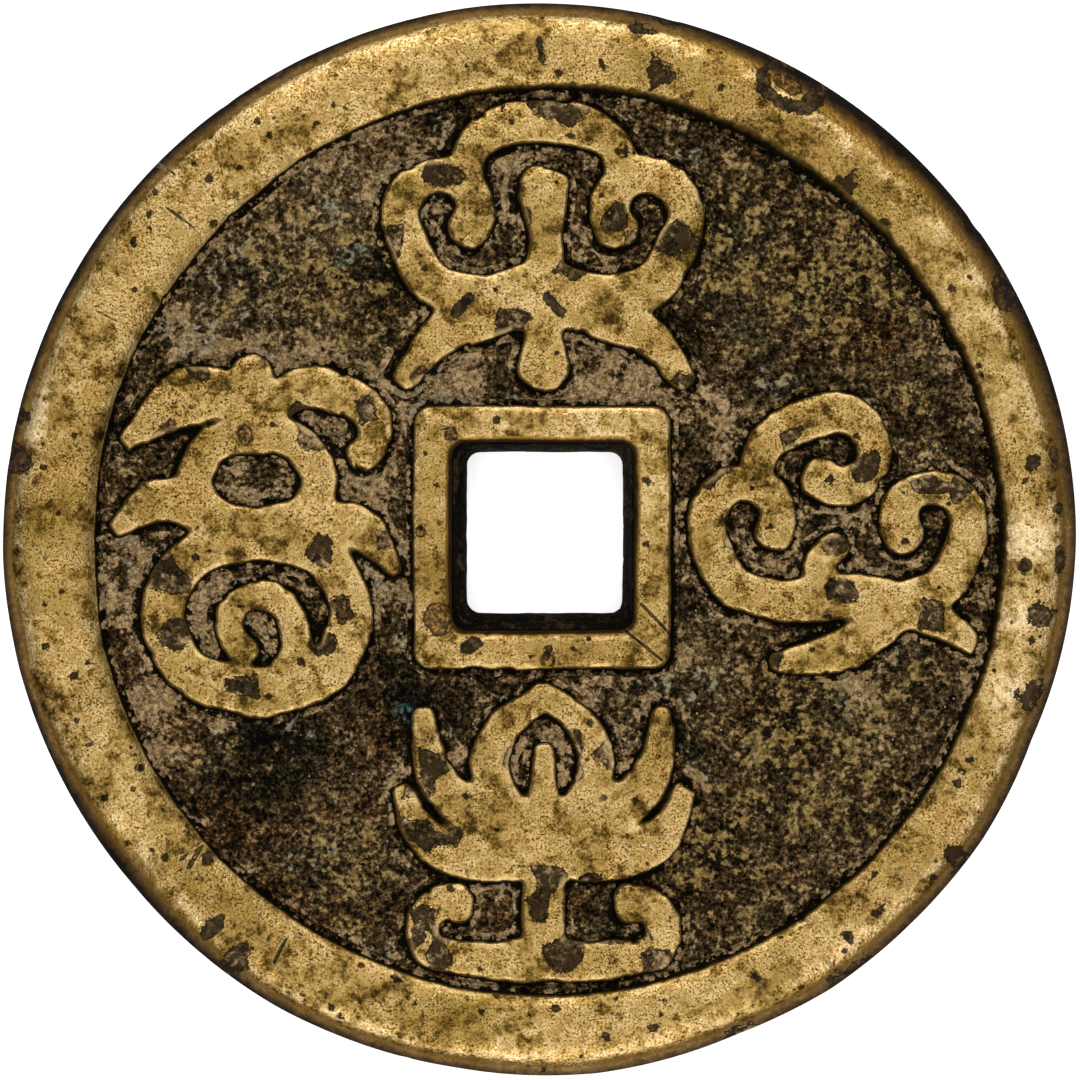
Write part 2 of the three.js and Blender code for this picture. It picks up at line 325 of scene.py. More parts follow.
def ornament_distance(node, x, y):
    """Distance from an ornament's hand-cut foot, minus inside it. Far points get the map's margin."""
    line = flat_points(x, y)
    bend_x = 0.1 * waves(line, 1.3, 31) + 0.06 * waves(line, 0.5, 32) + 0.025 * waves(line, 0.24, 36)
    bend_y = 0.1 * waves(line, 1.3, 33) + 0.06 * waves(line, 0.5, 34) + 0.025 * waves(line, 0.24, 37)
    grid, start_x, start_y = ornament_map[node]
    column = (x + bend_x - start_x) / map_pitch
    row = (y + bend_y - start_y) / map_pitch
    rows, columns = grid.shape
    on_map = (column >= 0) & (column < columns - 1) & (row >= 0) & (row < rows - 1)
    column = np.clip(column, 0, columns - 1.001)
    row = np.clip(row, 0, rows - 1.001)
    i, j = row.astype(int), column.astype(int)
    up, right = row - i, column - j
    lower = grid[i, j] * (1 - right) + grid[i, j + 1] * right
    upper = grid[i + 1, j] * (1 - right) + grid[i + 1, j + 1] * right
    bites = 0.12 * smooth(0.45, 0.8, waves(line, 0.8, 35))
    return np.where(on_map, lower * (1 - up) + upper * up + bites, map_margin)


def field_distance(side, x, y):
    """Distance from the nearest relief's foot: plus on the field, minus on the relief."""
    radius = np.hypot(x, y)
    angle = np.arctan2(y, x)
    to_rim = along(rim_foot[side], angle) - radius
    to_frame = (radius - along(frame_foot[side], angle)) * along(frame_lean[side], angle)
    nearest = np.minimum(to_rim, to_frame)
    if side == "obverse":
        for node in ornament_nodes:
            nearest = np.minimum(nearest, ornament_distance(node, x, y))
    return nearest


def foot_drop(from_foot, groove_width):
    """How far the ground drops outside a relief's foot: a groove, then a skirt that dips under the field."""
    groove = groove_depth * np.exp(-((from_foot / groove_width) ** 2)) * (from_foot < 0)
    return groove + skirt_drop * smooth(-skirt_start, -relief_skirt, from_foot)


def wall_rise(climb, from_foot):
    """The share of a relief's height: a drafted wall by its climb, then a crown worn round."""
    crown = 1 - (1 - np.clip(from_foot / 0.6, 0, 1)) ** 2
    return 0.8 * smooth(-0.1, 1.0, climb) + 0.2 * crown


def field_height(side, x, y):
    """Height of the field's skin above the plane that the coin lies on."""
    points = flat_points(x, y)
    if side == "obverse":
        return flan_high - field_dip + casting_skin(points)
    return flan_low + field_dip - casting_skin(points + 40)


# Marks are placed from the photograph, in its pixels
pixel = 2 * coin_radius / 1078
photo_middle = 540


def from_photo(across, down):
    """A place in the photograph, in millimetres from the coin's axis."""
    return (across - photo_middle) * pixel, (photo_middle - down) * pixel


# Knocks and casting flaws: x, y, radius and depth in millimetres
dents = [
    (20, 457, 18, 0.28), (1008, 288, 16, 0.14), (848, 972, 22, 0.16), (440, 618, 18, 0.1),
    (548, 660, 9, 0.16), (104, 410, 9, 0.12), (793, 85, 30, 0.05), (38, 418, 26, 0.07),
    (130, 850, 40, 0.08), (1062, 470, 14, 0.12), (277, 72, 12, 0.1), (650, 24, 16, 0.1),
    (222, 967, 12, 0.1), (420, 532, 7, 0.14), (905, 170, 34, 0.06), (60, 690, 16, 0.08),
    (300, 40, 26, 0.07), (1040, 780, 24, 0.08), (480, 1066, 26, 0.06), (950, 900, 26, 0.08),
]


def dent_depth(x, y):
    """How deep the knocks and flaws have pressed the surface in, in millimetres."""
    total = np.zeros(x.shape)
    for across, down, radius, depth in dents:
        dx, dy = from_photo(across, down)
        away = np.hypot(x - dx, y - dy) / (radius * pixel)
        total += depth * smooth(1.0, 0.35, away)
    return total


def mark_depth(marks, x, y, limit=1.0):
    """How deep inside the nearest mark a point lies, in millimetres, minus outside it.

    Each mark is the x and y of both its ends, and half its width.
    """
    depth = np.full(x.shape, -limit)
    for across_a, down_a, across_b, down_b, half_width in marks:
        ax, ay = from_photo(across_a, down_a)
        bx, by = from_photo(across_b, down_b)
        length = max((bx - ax) ** 2 + (by - ay) ** 2, 1e-9)
        share = np.clip(((x - ax) * (bx - ax) + (y - ay) * (by - ay)) / length, 0, 1)
        away = np.hypot(x - ax - share * (bx - ax), y - ay - share * (by - ay))
        depth = np.maximum(depth, half_width * pixel - away)
    return depth


def zone_strength(zones, x, y):
    """Soft patches: up to 1 in the middle of a zone and 0 outside. Each is x, y, radius and strength."""
    total = np.zeros(x.shape)
    for across, down, radius, strength in zones:
        zx, zy = from_photo(across, down)
        away = np.hypot(x - zx, y - zy) / (radius * pixel)
        total = np.maximum(total, strength * np.exp(-away * away * 1.4))
    return total


# Stains and black casting blots
stains = {
    "obverse": [
        (201, 188, 202, 190, 5), (191, 204, 191, 205, 4), (155, 193, 156, 193, 4), (79, 285, 80, 286, 5),
        (126, 309, 126, 310, 4), (72, 350, 73, 351, 4), (375, 85, 376, 85, 4), (538, 36, 543, 63, 3),
        (583, 67, 592, 71, 4), (597, 73, 604, 74, 6), (602, 66, 603, 66, 4), (567, 32, 568, 33, 4),
        (277, 72, 280, 70, 7), (636, 26, 662, 23, 8), (758, 78, 764, 92, 6), (764, 92, 782, 104, 6),
        (782, 104, 806, 108, 7), (806, 106, 822, 96, 9), (822, 94, 820, 80, 7), (820, 76, 806, 66, 5),
        (804, 64, 778, 61, 4), (776, 62, 760, 74, 5), (882, 218, 896, 226, 4), (1006, 280, 1008, 298, 14),
        (14, 452, 16, 462, 15), (80, 640, 84, 641, 5), (1055, 450, 1058, 466, 6),
        (1057, 508, 1058, 510, 6), (1062, 552, 1063, 570, 6), (1023, 564, 1024, 566, 8),
        (95, 742, 97, 745, 5), (162, 792, 174, 798, 5), (206, 860, 216, 853, 7), (214, 930, 220, 920, 7),
        (194, 934, 208, 936, 5), (222, 967, 224, 966, 8), (253, 945, 254, 945, 4),
        (340, 1015, 341, 1015, 4), (395, 980, 415, 1000, 5), (460, 1045, 461, 1045, 4),
        (563, 1014, 564, 1016, 3), (605, 1036, 606, 1036, 5), (613, 1045, 614, 1046, 3),
        (620, 1025, 621, 1025, 4), (580, 1054, 592, 1046, 4), (652, 1030, 655, 1029, 6),
        (975, 762, 976, 763, 6), (960, 768, 961, 769, 6), (955, 783, 956, 784, 5),
        (938, 795, 939, 795, 5), (874, 914, 886, 909, 4), (880, 906, 884, 917, 3),
        (755, 977, 759, 983, 6), (820, 927, 822, 926, 5), (848, 938, 849, 938, 4),
        (803, 989, 804, 989, 5), (780, 1005, 781, 1005, 5), (935, 880, 936, 880, 6),
        (828, 983, 868, 958, 8), (468, 647, 474, 642, 7), (547, 657, 549, 651, 4),
        (455, 312, 470, 298, 6), (505, 335, 520, 318, 9), (548, 296, 560, 312, 5), (40, 610, 41, 612, 3),
        (52, 520, 53, 524, 3), (28, 585, 29, 586, 3), (990, 395, 991, 398, 3), (1030, 640, 1032, 642, 4),
        (1015, 690, 1016, 692, 3), (300, 96, 302, 95, 4), (420, 40, 421, 41, 3),
    ],
    "reverse": [
        (160, 330, 168, 338, 6), (845, 150, 850, 156, 7), (930, 700, 938, 706, 6),
        (520, 1030, 540, 1034, 5), (60, 560, 62, 570, 5), (300, 130, 310, 124, 5),
        (715, 1000, 722, 996, 6), (250, 920, 262, 930, 6),
    ],
}
# Brown rust, in spots and rings
rust = {
    "obverse": [
        (440, 618, 441, 620, 16), (451, 432, 451, 435, 7), (523, 213, 524, 220, 7),
        (950, 290, 951, 290, 6), (245, 432, 246, 438, 8), (640, 350, 641, 352, 4),
        (155, 440, 170, 425, 6), (418, 378, 422, 372, 8), (783, 79, 796, 86, 10), (886, 222, 889, 223, 7),
    ],
    "reverse": [(620, 330, 622, 334, 8), (360, 700, 362, 702, 7)],
}
# Scratches and tool marks
scratches = {
    "obverse": [
        (150, 159, 184, 180, 1.4), (173, 150, 158, 188, 1.4), (196, 141, 178, 183, 1.4),
        (166, 207, 203, 235, 1.6), (83, 303, 121, 323, 1.5), (275, 113, 271, 128, 1.8),
        (672, 40, 673, 70, 1.3), (1015, 435, 1015, 475, 1.4), (590, 1022, 670, 1013, 2.0),
        (890, 862, 913, 890, 1.5), (925, 853, 942, 872, 1.5), (641, 604, 682, 646, 1.8),
        (621, 627, 662, 660, 1.8), (270, 970, 287, 937, 2.2), (100, 268, 112, 258, 1.3),
        (440, 430, 449, 428, 1.3), (149, 750, 133, 789, 3.4), (82, 701, 76, 722, 3.2),
        (85, 746, 103, 741, 2.6), (112, 738, 130, 748, 2.6), (174, 863, 197, 850, 2.6),
        (185, 874, 206, 838, 2.8), (163, 827, 178, 846, 1.4), (188, 816, 184, 836, 1.4),
        (289, 932, 312, 936, 1.5), (470, 1000, 476, 1012, 1.6), (648, 930, 652, 940, 1.6),
        (985, 700, 1000, 722, 1.3), (60, 430, 66, 424, 1.6), (168, 792, 174, 770, 1.4),
    ],
    "reverse": [
        (380, 60, 430, 90, 1.5), (900, 800, 940, 760, 1.5), (70, 420, 110, 440, 1.5),
        (600, 1000, 660, 1040, 1.4), (620, 420, 660, 470, 1.8), (300, 300, 360, 330, 1.4),
    ],
}
# Where gold shows through the field's patina
gold_zones = {
    "obverse": [
        (840, 270, 120, 0.9), (740, 250, 80, 0.8), (330, 285, 90, 0.9), (270, 240, 70, 0.8),
        (800, 760, 130, 1.0), (720, 850, 100, 0.9), (345, 865, 60, 0.9), (900, 420, 70, 0.5),
        (200, 640, 50, 0.4), (880, 690, 80, 0.7), (220, 300, 60, 0.6),
    ],
    "reverse": [(330, 300, 150, 0.8), (780, 800, 150, 0.8), (820, 330, 110, 0.5)],
}
# Taupe skins on the field
pale_zones = {
    "obverse": [
        (450, 385, 50, 0.9), (580, 395, 70, 0.7), (395, 560, 45, 0.9), (175, 600, 50, 0.6),
        (885, 600, 50, 0.9), (735, 420, 60, 0.6), (350, 420, 50, 0.6), (300, 700, 60, 0.4),
        (480, 900, 50, 0.5), (330, 840, 50, 0.5), (885, 740, 40, 0.7), (130, 560, 40, 0.7),
        (700, 960, 60, 0.4), (640, 400, 50, 0.6), (460, 200, 60, 0.4), (300, 230, 60, 0.75),
        (340, 190, 60, 0.7), (200, 330, 60, 0.75), (260, 340, 60, 0.75), (240, 560, 60, 0.6),
        (150, 640, 40, 0.7), (360, 480, 50, 0.6), (820, 800, 60, 0.65), (740, 760, 50, 0.55),
        (400, 180, 60, 0.7), (150, 700, 36, 0.8), (168, 745, 34, 0.8), (205, 705, 40, 0.7),
        (310, 320, 60, 0.75), (240, 260, 60, 0.75), (860, 700, 60, 0.65), (700, 700, 60, 0.6),
    ],
    "reverse": [(540, 320, 80, 0.7), (280, 560, 80, 0.6), (800, 600, 70, 0.6)],
}
# Painted highlights on worn facets and ridges: bright colour painted where they would catch the lamps
facet_highlights = {
    "obverse": [
        (46, 392, 9, 1.1), (42, 406, 12, 1.3), (39, 420, 14, 1.4), (38, 434, 14, 1.4), (39, 450, 12, 1.2),
        (36, 474, 10, 0.9), (34, 494, 9, 0.6), (108, 804, 10, 1.1), (116, 820, 11, 1.2),
        (126, 836, 12, 1.2), (136, 852, 12, 1.1), (148, 870, 11, 1.0), (160, 886, 10, 1.0),
        (176, 906, 10, 0.8), (465, 1040, 14, 0.6), (500, 1044, 16, 0.8), (540, 1046, 16, 0.7),
        (585, 1044, 14, 0.7), (980, 190, 12, 0.6), (945, 170, 12, 0.5), (905, 140, 12, 0.5),
        (1046, 420, 10, 0.8), (1052, 445, 9, 0.7), (395, 60, 20, 0.4), (1028, 540, 60, 0.85),
        (1020, 620, 50, 0.8), (1010, 690, 50, 0.8), (1022, 400, 50, 0.65), (890, 165, 50, 0.55),
        (945, 225, 50, 0.55), (985, 305, 40, 0.55), (500, 425, 44, 0.65), (590, 425, 44, 0.65),
        (655, 500, 44, 0.5), (655, 600, 44, 0.5), (700, 60, 30, 0.4), (50, 600, 60, 0.4),
        (60, 350, 50, 0.4), (150, 180, 16, 0.4), (1010, 760, 12, 0.5),
    ],
    "reverse": [(60, 400, 16, 0.8), (64, 440, 16, 0.8), (700, 1040, 18, 0.8), (980, 260, 16, 0.7)],
}
# Reddish patina
ruddy_zones = {
    "obverse": [
        (230, 830, 60, 0.9), (300, 900, 50, 0.7), (880, 330, 50, 0.6), (640, 800, 50, 0.5),
        (960, 480, 30, 0.7), (160, 700, 40, 0.5), (560, 690, 40, 0.5), (420, 170, 40, 0.4),
    ],
    "reverse": [(300, 800, 90, 0.8), (800, 300, 60, 0.6)],
}
# Blue-black patina
blue_zones = {
    "obverse": [
        (265, 760, 60, 1.0), (390, 275, 35, 0.9), (400, 700, 45, 0.9), (340, 660, 50, 0.7),
        (690, 330, 40, 0.5), (460, 130, 40, 0.4), (690, 740, 40, 0.5),
    ],
    "reverse": [(400, 800, 70, 0.8), (700, 250, 60, 0.8)],
}
# Verdigris
green_zones = {
    "obverse": [
        (338, 260, 8, 0.8), (346, 255, 9, 0.9), (356, 252, 8, 0.8), (366, 249, 6, 0.6),
        (404, 713, 10, 1.0), (617, 41, 4, 0.8), (470, 985, 6, 0.7), (90, 700, 8, 0.6), (100, 800, 5, 0.5),
        (858, 205, 4, 0.6),
    ],
    "reverse": [(600, 730, 18, 0.8), (250, 380, 12, 0.8)],
}
# Olive film on the rubbed brass
olive_zones = {
    "obverse": [
        (48, 520, 36, 0.9), (60, 420, 14, 0.9), (62, 450, 16, 0.8), (465, 1018, 40, 0.9),
        (240, 905, 40, 0.6), (560, 230, 30, 0.5), (640, 760, 40, 0.4), (1030, 460, 24, 0.5),
        (440, 480, 40, 0.4), (720, 60, 50, 0.5), (110, 240, 30, 0.4), (870, 190, 50, 0.7),
        (830, 120, 30, 0.6), (640, 60, 40, 0.4), (560, 650, 50, 0.6), (432, 560, 40, 0.6),
        (180, 880, 40, 0.5), (60, 600, 30, 0.6), (940, 870, 40, 0.5), (780, 1000, 40, 0.4),
    ],
    "reverse": [(120, 760, 60, 0.8), (940, 420, 60, 0.7)],
}


# What each stored vector holds, for the materials to read
finish_vectors = {
    "relief": ("foot", "climb", "edge"),
    "marks": ("stain", "rust", "scratch"),
    "zones": ("gold", "pale", "blue"),
    "tints": ("green", "olive", "soot"),
    "wear_and_painted_light": ("chips", "facet_highlight", "ruddy"),
}
mark_lists = {"stain": stains, "rust": rust, "scratch": scratches}
zone_lists = {
    "gold": gold_zones, "pale": pale_zones, "blue": blue_zones, "green": green_zones, "olive": olive_zones,
    "facet_highlight": facet_highlights, "ruddy": ruddy_zones,
}
far_from_edge = -3.0
unworn = {"rough": 0.0, "foot": 0.0, "climb": 0.0, "edge": far_from_edge, "soot": 0.0, "chips": -1.0}


def by_face(measure, lists, points):
    """A measure of the marks on each point's face of the coin, which die out down its sides."""
    upper = points[:, 2] > middle_height
    values = np.zeros(len(points))
    values[upper] = measure(lists["obverse"], points[upper, 0], points[upper, 1])
    values[~upper] = measure(lists["reverse"], -points[~upper, 0], points[~upper, 1])
    blank = measure([], points[:, 0], points[:, 1])
    down_side = smooth(1.0, 0.3, np.abs(points[:, 2] - middle_height))
    return values + (blank - values) * down_side


def store_finish(mesh, points, **layers):
    """What the materials read: where a point lies on its relief, the marks, the patina's zones and the zones
    of painted highlight.
    """
    layers = {**unworn, **layers}
    for label, marks in mark_lists.items():
        layers[label] = by_face(mark_depth, marks, points)
    for label, zones in zone_lists.items():
        layers[label] = by_face(zone_strength, zones, points)
    for name, labels in finish_vectors.items():
        values = [np.broadcast_to(np.ravel(layers[label]), len(points)) for label in labels]
        attribute = mesh.attributes.new(name, "FLOAT_VECTOR", "POINT")
        attribute.data.foreach_set("vector", np.stack(values, axis=-1).astype(np.float32).ravel())


def normals_of(points):
    """Outward normals on a grid of points that closes on itself both ways."""
    across = np.roll(points, -1, 1) - np.roll(points, 1, 1)
    around = np.roll(points, -1, 0) - np.roll(points, 1, 0)
    normal = np.cross(across, around)
    return normal / np.linalg.norm(normal, axis=-1, keepdims=True).clip(1e-9)


def ring(radius, height, **finish):
    """One ring of a piece: its radius and height, and what is stored on it."""
    return {"radius": radius, "height": height, **unworn, **finish}


def stacked(rings, angles):
    """Each value of a piece's rings as one grid, around and across."""
    return {
        key: np.stack([np.broadcast_to(one[key], angles.shape) for one in rings], 1) for key in rings[0]
    }


def ring_points(angles, layers):
    """The grid of points that a piece's rings describe."""
    radii = layers["radius"]
    return np.stack(
        [radii * np.cos(angles)[:, None], radii * np.sin(angles)[:, None], layers["height"]], axis=-1
    )


def ring_mesh(name, points):
    """A closed ring from sections that go up the inside, out over the top and down the outside."""
    rows, columns = points.shape[:2]
    row = np.arange(rows)[:, None]
    column = np.arange(columns)[None, :]
    next_row = (row + 1) % rows
    next_column = (column + 1) % columns
    faces = np.stack(
        [
            row * columns + column,
            row * columns + next_column,
            next_row * columns + next_column,
            next_row * columns + column,
        ],
        axis=-1,
    ).reshape(-1, 4)
    return mesh_of(name, points.reshape(-1, 3), faces)


def mesh_of(name, points, faces):
    """A mesh of four-sided faces, kept within the coin's radius and height."""
    points = points.copy()
    reach_out = np.hypot(points[:, 0], points[:, 1])
    points[:, :2] *= np.minimum(1, coin_radius / reach_out.clip(1e-6))[:, None]
    points[:, 2] = np.clip(points[:, 2], 0, coin_top)
    mesh = bpy.data.meshes.new(name)
    mesh.vertices.add(len(points))
    mesh.vertices.foreach_set("co", (points * MM).astype(np.float32).ravel())
    mesh.loops.add(faces.size)
    mesh.loops.foreach_set("vertex_index", faces.astype(np.int32).ravel())
    mesh.polygons.add(len(faces))
    mesh.polygons.foreach_set("loop_start", np.arange(0, faces.size, 4, dtype=np.int32))
    mesh.polygons.foreach_set("use_smooth", np.ones(len(faces), bool))
    mesh.update(calc_edges=True)
    mesh.validate()
    return mesh


def finished(name, mesh, material, node):
    """Puts a piece in place of its fitted solid, on the one body."""
    piece = bpy.data.objects.new(name, mesh)
    bpy.context.scene.collection.objects.link(piece)
    mesh.materials.append(material)
    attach(piece, "root")
    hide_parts(node)


def put(tree, kind, inputs, **settings):
    """A node of one kind with its inputs linked or set: gives its outputs."""
    node = tree.nodes.new(kind)
    for key, value in settings.items():
        setattr(node, key, value)
    for key, value in inputs.items():
        socket = node.inputs[key]
        if isinstance(value, bpy.types.NodeSocket):
            tree.links.new(value, socket)
        else:
            socket.default_value = value
    return node.outputs


def noise_at(tree, place, size, detail, roughness, twist, offset):
    """Noise from 0 to 1 whose features are about one size across, in millimetres."""
    moved = put(tree, "ShaderNodeVectorMath", {0: place, 1: (offset, offset, offset)}, operation="ADD")
    outputs = put(
        tree, "ShaderNodeTexNoise",
        {"Vector": moved["Vector"], "Scale": 1 / size, "Detail": detail, "Roughness": roughness,
         "Distortion": twist},
    )
    return outputs[0]


def math_of(tree, operation, a, b=0.0, c=0.0):
    """One step of arithmetic on two or three values."""
    return put(tree, "ShaderNodeMath", {0: a, 1: b, 2: c}, operation=operation)[0]


def both(tree, a, b):
    """One value times another: where both masks hold."""
    return math_of(tree, "MULTIPLY", a, b)


def scaled(tree, value, share, start):
    """A value times a share, plus a start."""
    return math_of(tree, "MULTIPLY_ADD", value, share, start)


def mixed(tree, *terms):
    """The sum of some values, each times its share."""
    total = 0.0
    for value, share in terms:
        total = scaled(tree, value, share, total)
    return total


def between(tree, value, low, high):
    """0 below low, 1 above high and smooth between them."""
    return put(
        tree, "ShaderNodeMapRange",
        {"Value": value, "From Min": low, "From Max": high, "To Min": 0.0, "To Max": 1.0},
        interpolation_type="SMOOTHSTEP",
    )[0]


def colour_mix(tree, share, a, b, blend="MIX"):
    """Colour a at share 0 and colour b at share 1."""
    return put(tree, "ShaderNodeMix", {0: share, 6: a, 7: b}, data_type="RGBA", blend_type=blend)[2]


def coat(tree, under, mask, strength, over, blend="MIX"):
    """One colour laid over another through a mask, at a strength."""
    return colour_mix(tree, both(tree, mask, strength), under, over, blend)


def paint(red, green, blue):
    """A colour as the eye reads it, 0 to 255, for a shader."""
    linear = [
        c / 12.92 if c <= 0.04045 else ((c + 0.055) / 1.055) ** 2.4
        for c in (red / 255, green / 255, blue / 255)
    ]
    return (*linear, 1.0)


def ramp(tree, value, stops):
    """A colour that changes with a value, through stops of place and colour."""
    node = tree.nodes.new("ShaderNodeValToRGB")
    tree.links.new(value, node.inputs[0])
    elements = node.color_ramp.elements
    elements[0].position, elements[0].color = stops[0]
    elements[1].position, elements[1].color = stops[-1]
    for position, colour in stops[1:-1]:
        elements.new(position).color = colour
    return node.outputs[0]


def parts_of(tree, vector):
    """The three numbers of a vector."""
    return put(tree, "ShaderNodeSeparateXYZ", {0: vector})


def spots(tree, skin, size, share, widest):
    """Ragged round spots, at most so wide, in a share of the cells of a pattern: 1 inside them."""
    cell = put(
        tree, "ShaderNodeTexVoronoi", {"Vector": skin["place"], "Scale": 1 / size, "Randomness": 1.0},
        feature="F1",
    )
    chance, width, _ = parts_of(tree, cell["Color"])
    reach_of_spot = widest / size
    limit = scaled(tree, width, 0.85 * reach_of_spot, 0.15 * reach_of_spot)
    away = mixed(tree, (cell["Distance"], 1.0), (skin["ragged"], 0.9 * reach_of_spot), (limit, -1.0))
    inside = between(tree, away, 0.05, -0.2 * reach_of_spot)
    return both(tree, inside, math_of(tree, "LESS_THAN", chance, share))


# Noises from the finest to the widest: size in millimetres, detail and twist
grains = {
    "sand": (0.1, 2, 0.0), "dust": (0.14, 1, 0.0), "grain": (0.24, 2, 0.0), "speckle": (0.46, 3, 0.3),
    "blot": (0.9, 3, 0.5), "patch": (1.6, 4, 0.5), "hue": (3.2, 3, 0.3), "cloud": (5.0, 3, 0.0),
}
grain_roughness = 0.62
grain_spacing = 7.3


def skin_of(tree, offset):
    """The noises and the stored values that every material of the coin is mixed from."""
    coordinates = tree.nodes.new("ShaderNodeTexCoord").outputs["Object"]
    in_mm = put(tree, "ShaderNodeVectorMath", {0: coordinates, "Scale": 1 / MM}, operation="SCALE")
    skin = {"place": in_mm["Vector"]}
    for i, (name, (size, detail, twist)) in enumerate(grains.items()):
        shift = offset + grain_spacing * i
        noise = noise_at(tree, skin["place"], size, detail, grain_roughness, twist, shift)
        skin[name] = between(tree, noise, 0.3, 0.7)
    skin["ragged"] = mixed(tree, (skin["speckle"], 0.6), (skin["grain"], 0.4), (1.0, -0.5))
    skin["rough_line"] = mixed(tree, (skin["patch"], 0.5), (skin["ragged"], 1.0), (1.0, -0.25))
    for name, labels in finish_vectors.items():
        stored = tree.nodes.new("ShaderNodeAttribute")
        stored.attribute_name = name
        skin.update(zip(labels, parts_of(tree, stored.outputs["Vector"])))
    return skin


def rubbed_colour(tree, skin, patina):
    """Bare brass with its marks, painted highlights and painted shade at the edge, and how deep and how dull
    each point is.
    """
    sandy = between(tree, mixed(tree, (skin["patch"], 0.5), (skin["hue"], 0.5)), 0.25, 0.8)
    grit = both(tree, between(tree, skin["sand"], 0.0, 0.62), scaled(tree, sandy, 0.38, 0.1))
    tone = mixed(
        tree, (grit, 1.0), (skin["dust"], 0.12), (skin["grain"], 0.1), (skin["speckle"], 0.22),
        (skin["blot"], 0.24), (skin["patch"], 0.1), (skin["cloud"], 0.15), (skin["facet_highlight"], 0.16),
        (1.0, -0.145),
    )
    brass = ramp(
        tree, tone,
        [
            (0.18, paint(54, 38, 11)), (0.3, paint(98, 75, 30)), (0.42, paint(140, 111, 55)),
            (0.53, paint(170, 139, 78)), (0.66, paint(196, 166, 106)), (0.82, paint(222, 196, 146)),
        ],
    )
    warm = between(tree, skin["hue"], 0.5, 1.0)
    brass = coat(tree, brass, warm, 0.3, paint(250, 224, 190), "MULTIPLY")

    # Painted highlights on the facets, and on the ridge inside the filed edge and along the hole's mouth
    facet_highlight = between(tree, mixed(tree, (skin["facet_highlight"], 1.0), (skin["ragged"], 0.3)), 0.55, 0.9)
    ridge_highlight = both(tree, between(tree, skin["edge"], -0.75, -0.1), between(tree, skin["edge"], 0.12, 0.0))
    broken = between(tree, mixed(tree, (skin["patch"], 0.7), (skin["ragged"], 0.5)), 0.1, 0.6)
    ridge_highlight = both(tree, ridge_highlight, broken)
    lit = math_of(tree, "MAXIMUM", facet_highlight, ridge_highlight)
    ridge_highlight_colour = ramp(tree, skin["sand"], [(0.1, paint(196, 160, 104)), (0.8, paint(236, 206, 152))])
    facet_highlight_colour = ramp(tree, skin["sand"], [(0.1, paint(210, 178, 122)), (0.8, paint(252, 228, 182))])
    brass = coat(tree, brass, ridge_highlight, 0.55, ridge_highlight_colour)
    brass = coat(tree, brass, facet_highlight, 0.85, facet_highlight_colour)

    # A thin brown to olive film, then specks and round pits
    film = mixed(
        tree, (skin["olive"], 0.45), (skin["patch"], 0.45), (skin["blot"], 0.45), (skin["hue"], 0.3),
        (lit, -0.3), (skin["ragged"], 0.5),
    )
    greener = mixed(tree, (skin["hue"], 0.5), (skin["olive"], 0.5))
    film_tint = colour_mix(tree, greener, paint(206, 190, 150), paint(182, 182, 138))
    brass = colour_mix(tree, between(tree, film, 0.56, 1.0), brass, film_tint, "MULTIPLY")
    speck = spots(tree, skin, 0.2, scaled(tree, skin["blot"], 0.6, 0.02), 0.085)
    brass = coat(tree, brass, speck, 0.6, paint(62, 44, 16))
    pit = spots(tree, skin, 0.7, scaled(tree, skin["cloud"], 0.5, 0.02), 0.2)
    brass = coat(tree, brass, pit, 0.92, paint(22, 15, 5))

    # The filed edge and the hole's mouth go from golden brown to black: dirt, with painted shade on the
    # slopes that turn from the lamps
    wear_and_painted_light = mixed(tree, (skin["edge"], 1.0), (skin["rough_line"], 0.25))
    blackened = between(tree, wear_and_painted_light, 0.25, 0.85)
    brass = coat(tree, brass, between(tree, wear_and_painted_light, 0.0, 0.28), 0.78, paint(136, 99, 37))
    brass = coat(tree, brass, between(tree, wear_and_painted_light, 0.26, 0.72), 0.86, paint(57, 38, 11))
    brass = coat(tree, brass, between(tree, wear_and_painted_light, 0.65, 1.05), 0.94, paint(7, 5, 2))

    # Stains with a darker border, and a few scabs of the same kind
    scab = both(tree, spots(tree, skin, 1.9, 0.17, 0.42), 0.2)
    stain_line = mixed(tree, (skin["stain"], 1.0), (skin["rough_line"], 0.24), (scab, 1.0))
    stain_line = math_of(tree, "MAXIMUM", stain_line, math_of(tree, "SUBTRACT", scab, 0.1))
    stained = between(tree, stain_line, -0.05, 0.03)
    stain_rim = both(tree, stained, between(tree, stain_line, 0.12, 0.03))
    stain_colour = ramp(
        tree, mixed(tree, (skin["speckle"], 0.6), (skin["grain"], 0.4)),
        [(0.15, paint(14, 10, 6)), (0.5, paint(36, 26, 14)), (0.9, paint(88, 68, 42))],
    )
    brass = coat(tree, brass, stained, 0.94, stain_colour)
    brass = coat(tree, brass, stain_rim, 0.7, paint(22, 14, 6))

    # Rust, brown inside a dark ring
    rust_line = mixed(tree, (skin["rust"], 1.0), (skin["rough_line"], 0.2))
    rusted = between(tree, rust_line, -0.05, 0.06)
    rust_colour = ramp(
        tree, mixed(tree, (skin["grain"], 0.6), (skin["dust"], 0.4)),
        [(0.2, paint(38, 24, 9)), (0.55, paint(84, 57, 23)), (0.88, paint(168, 123, 58))],
    )
    brass = coat(tree, brass, rusted, 0.85, rust_colour)
    rust_rim = both(tree, rusted, between(tree, rust_line, 0.16, 0.05))
    brass = coat(tree, brass, rust_rim, 0.9, paint(32, 19, 7))

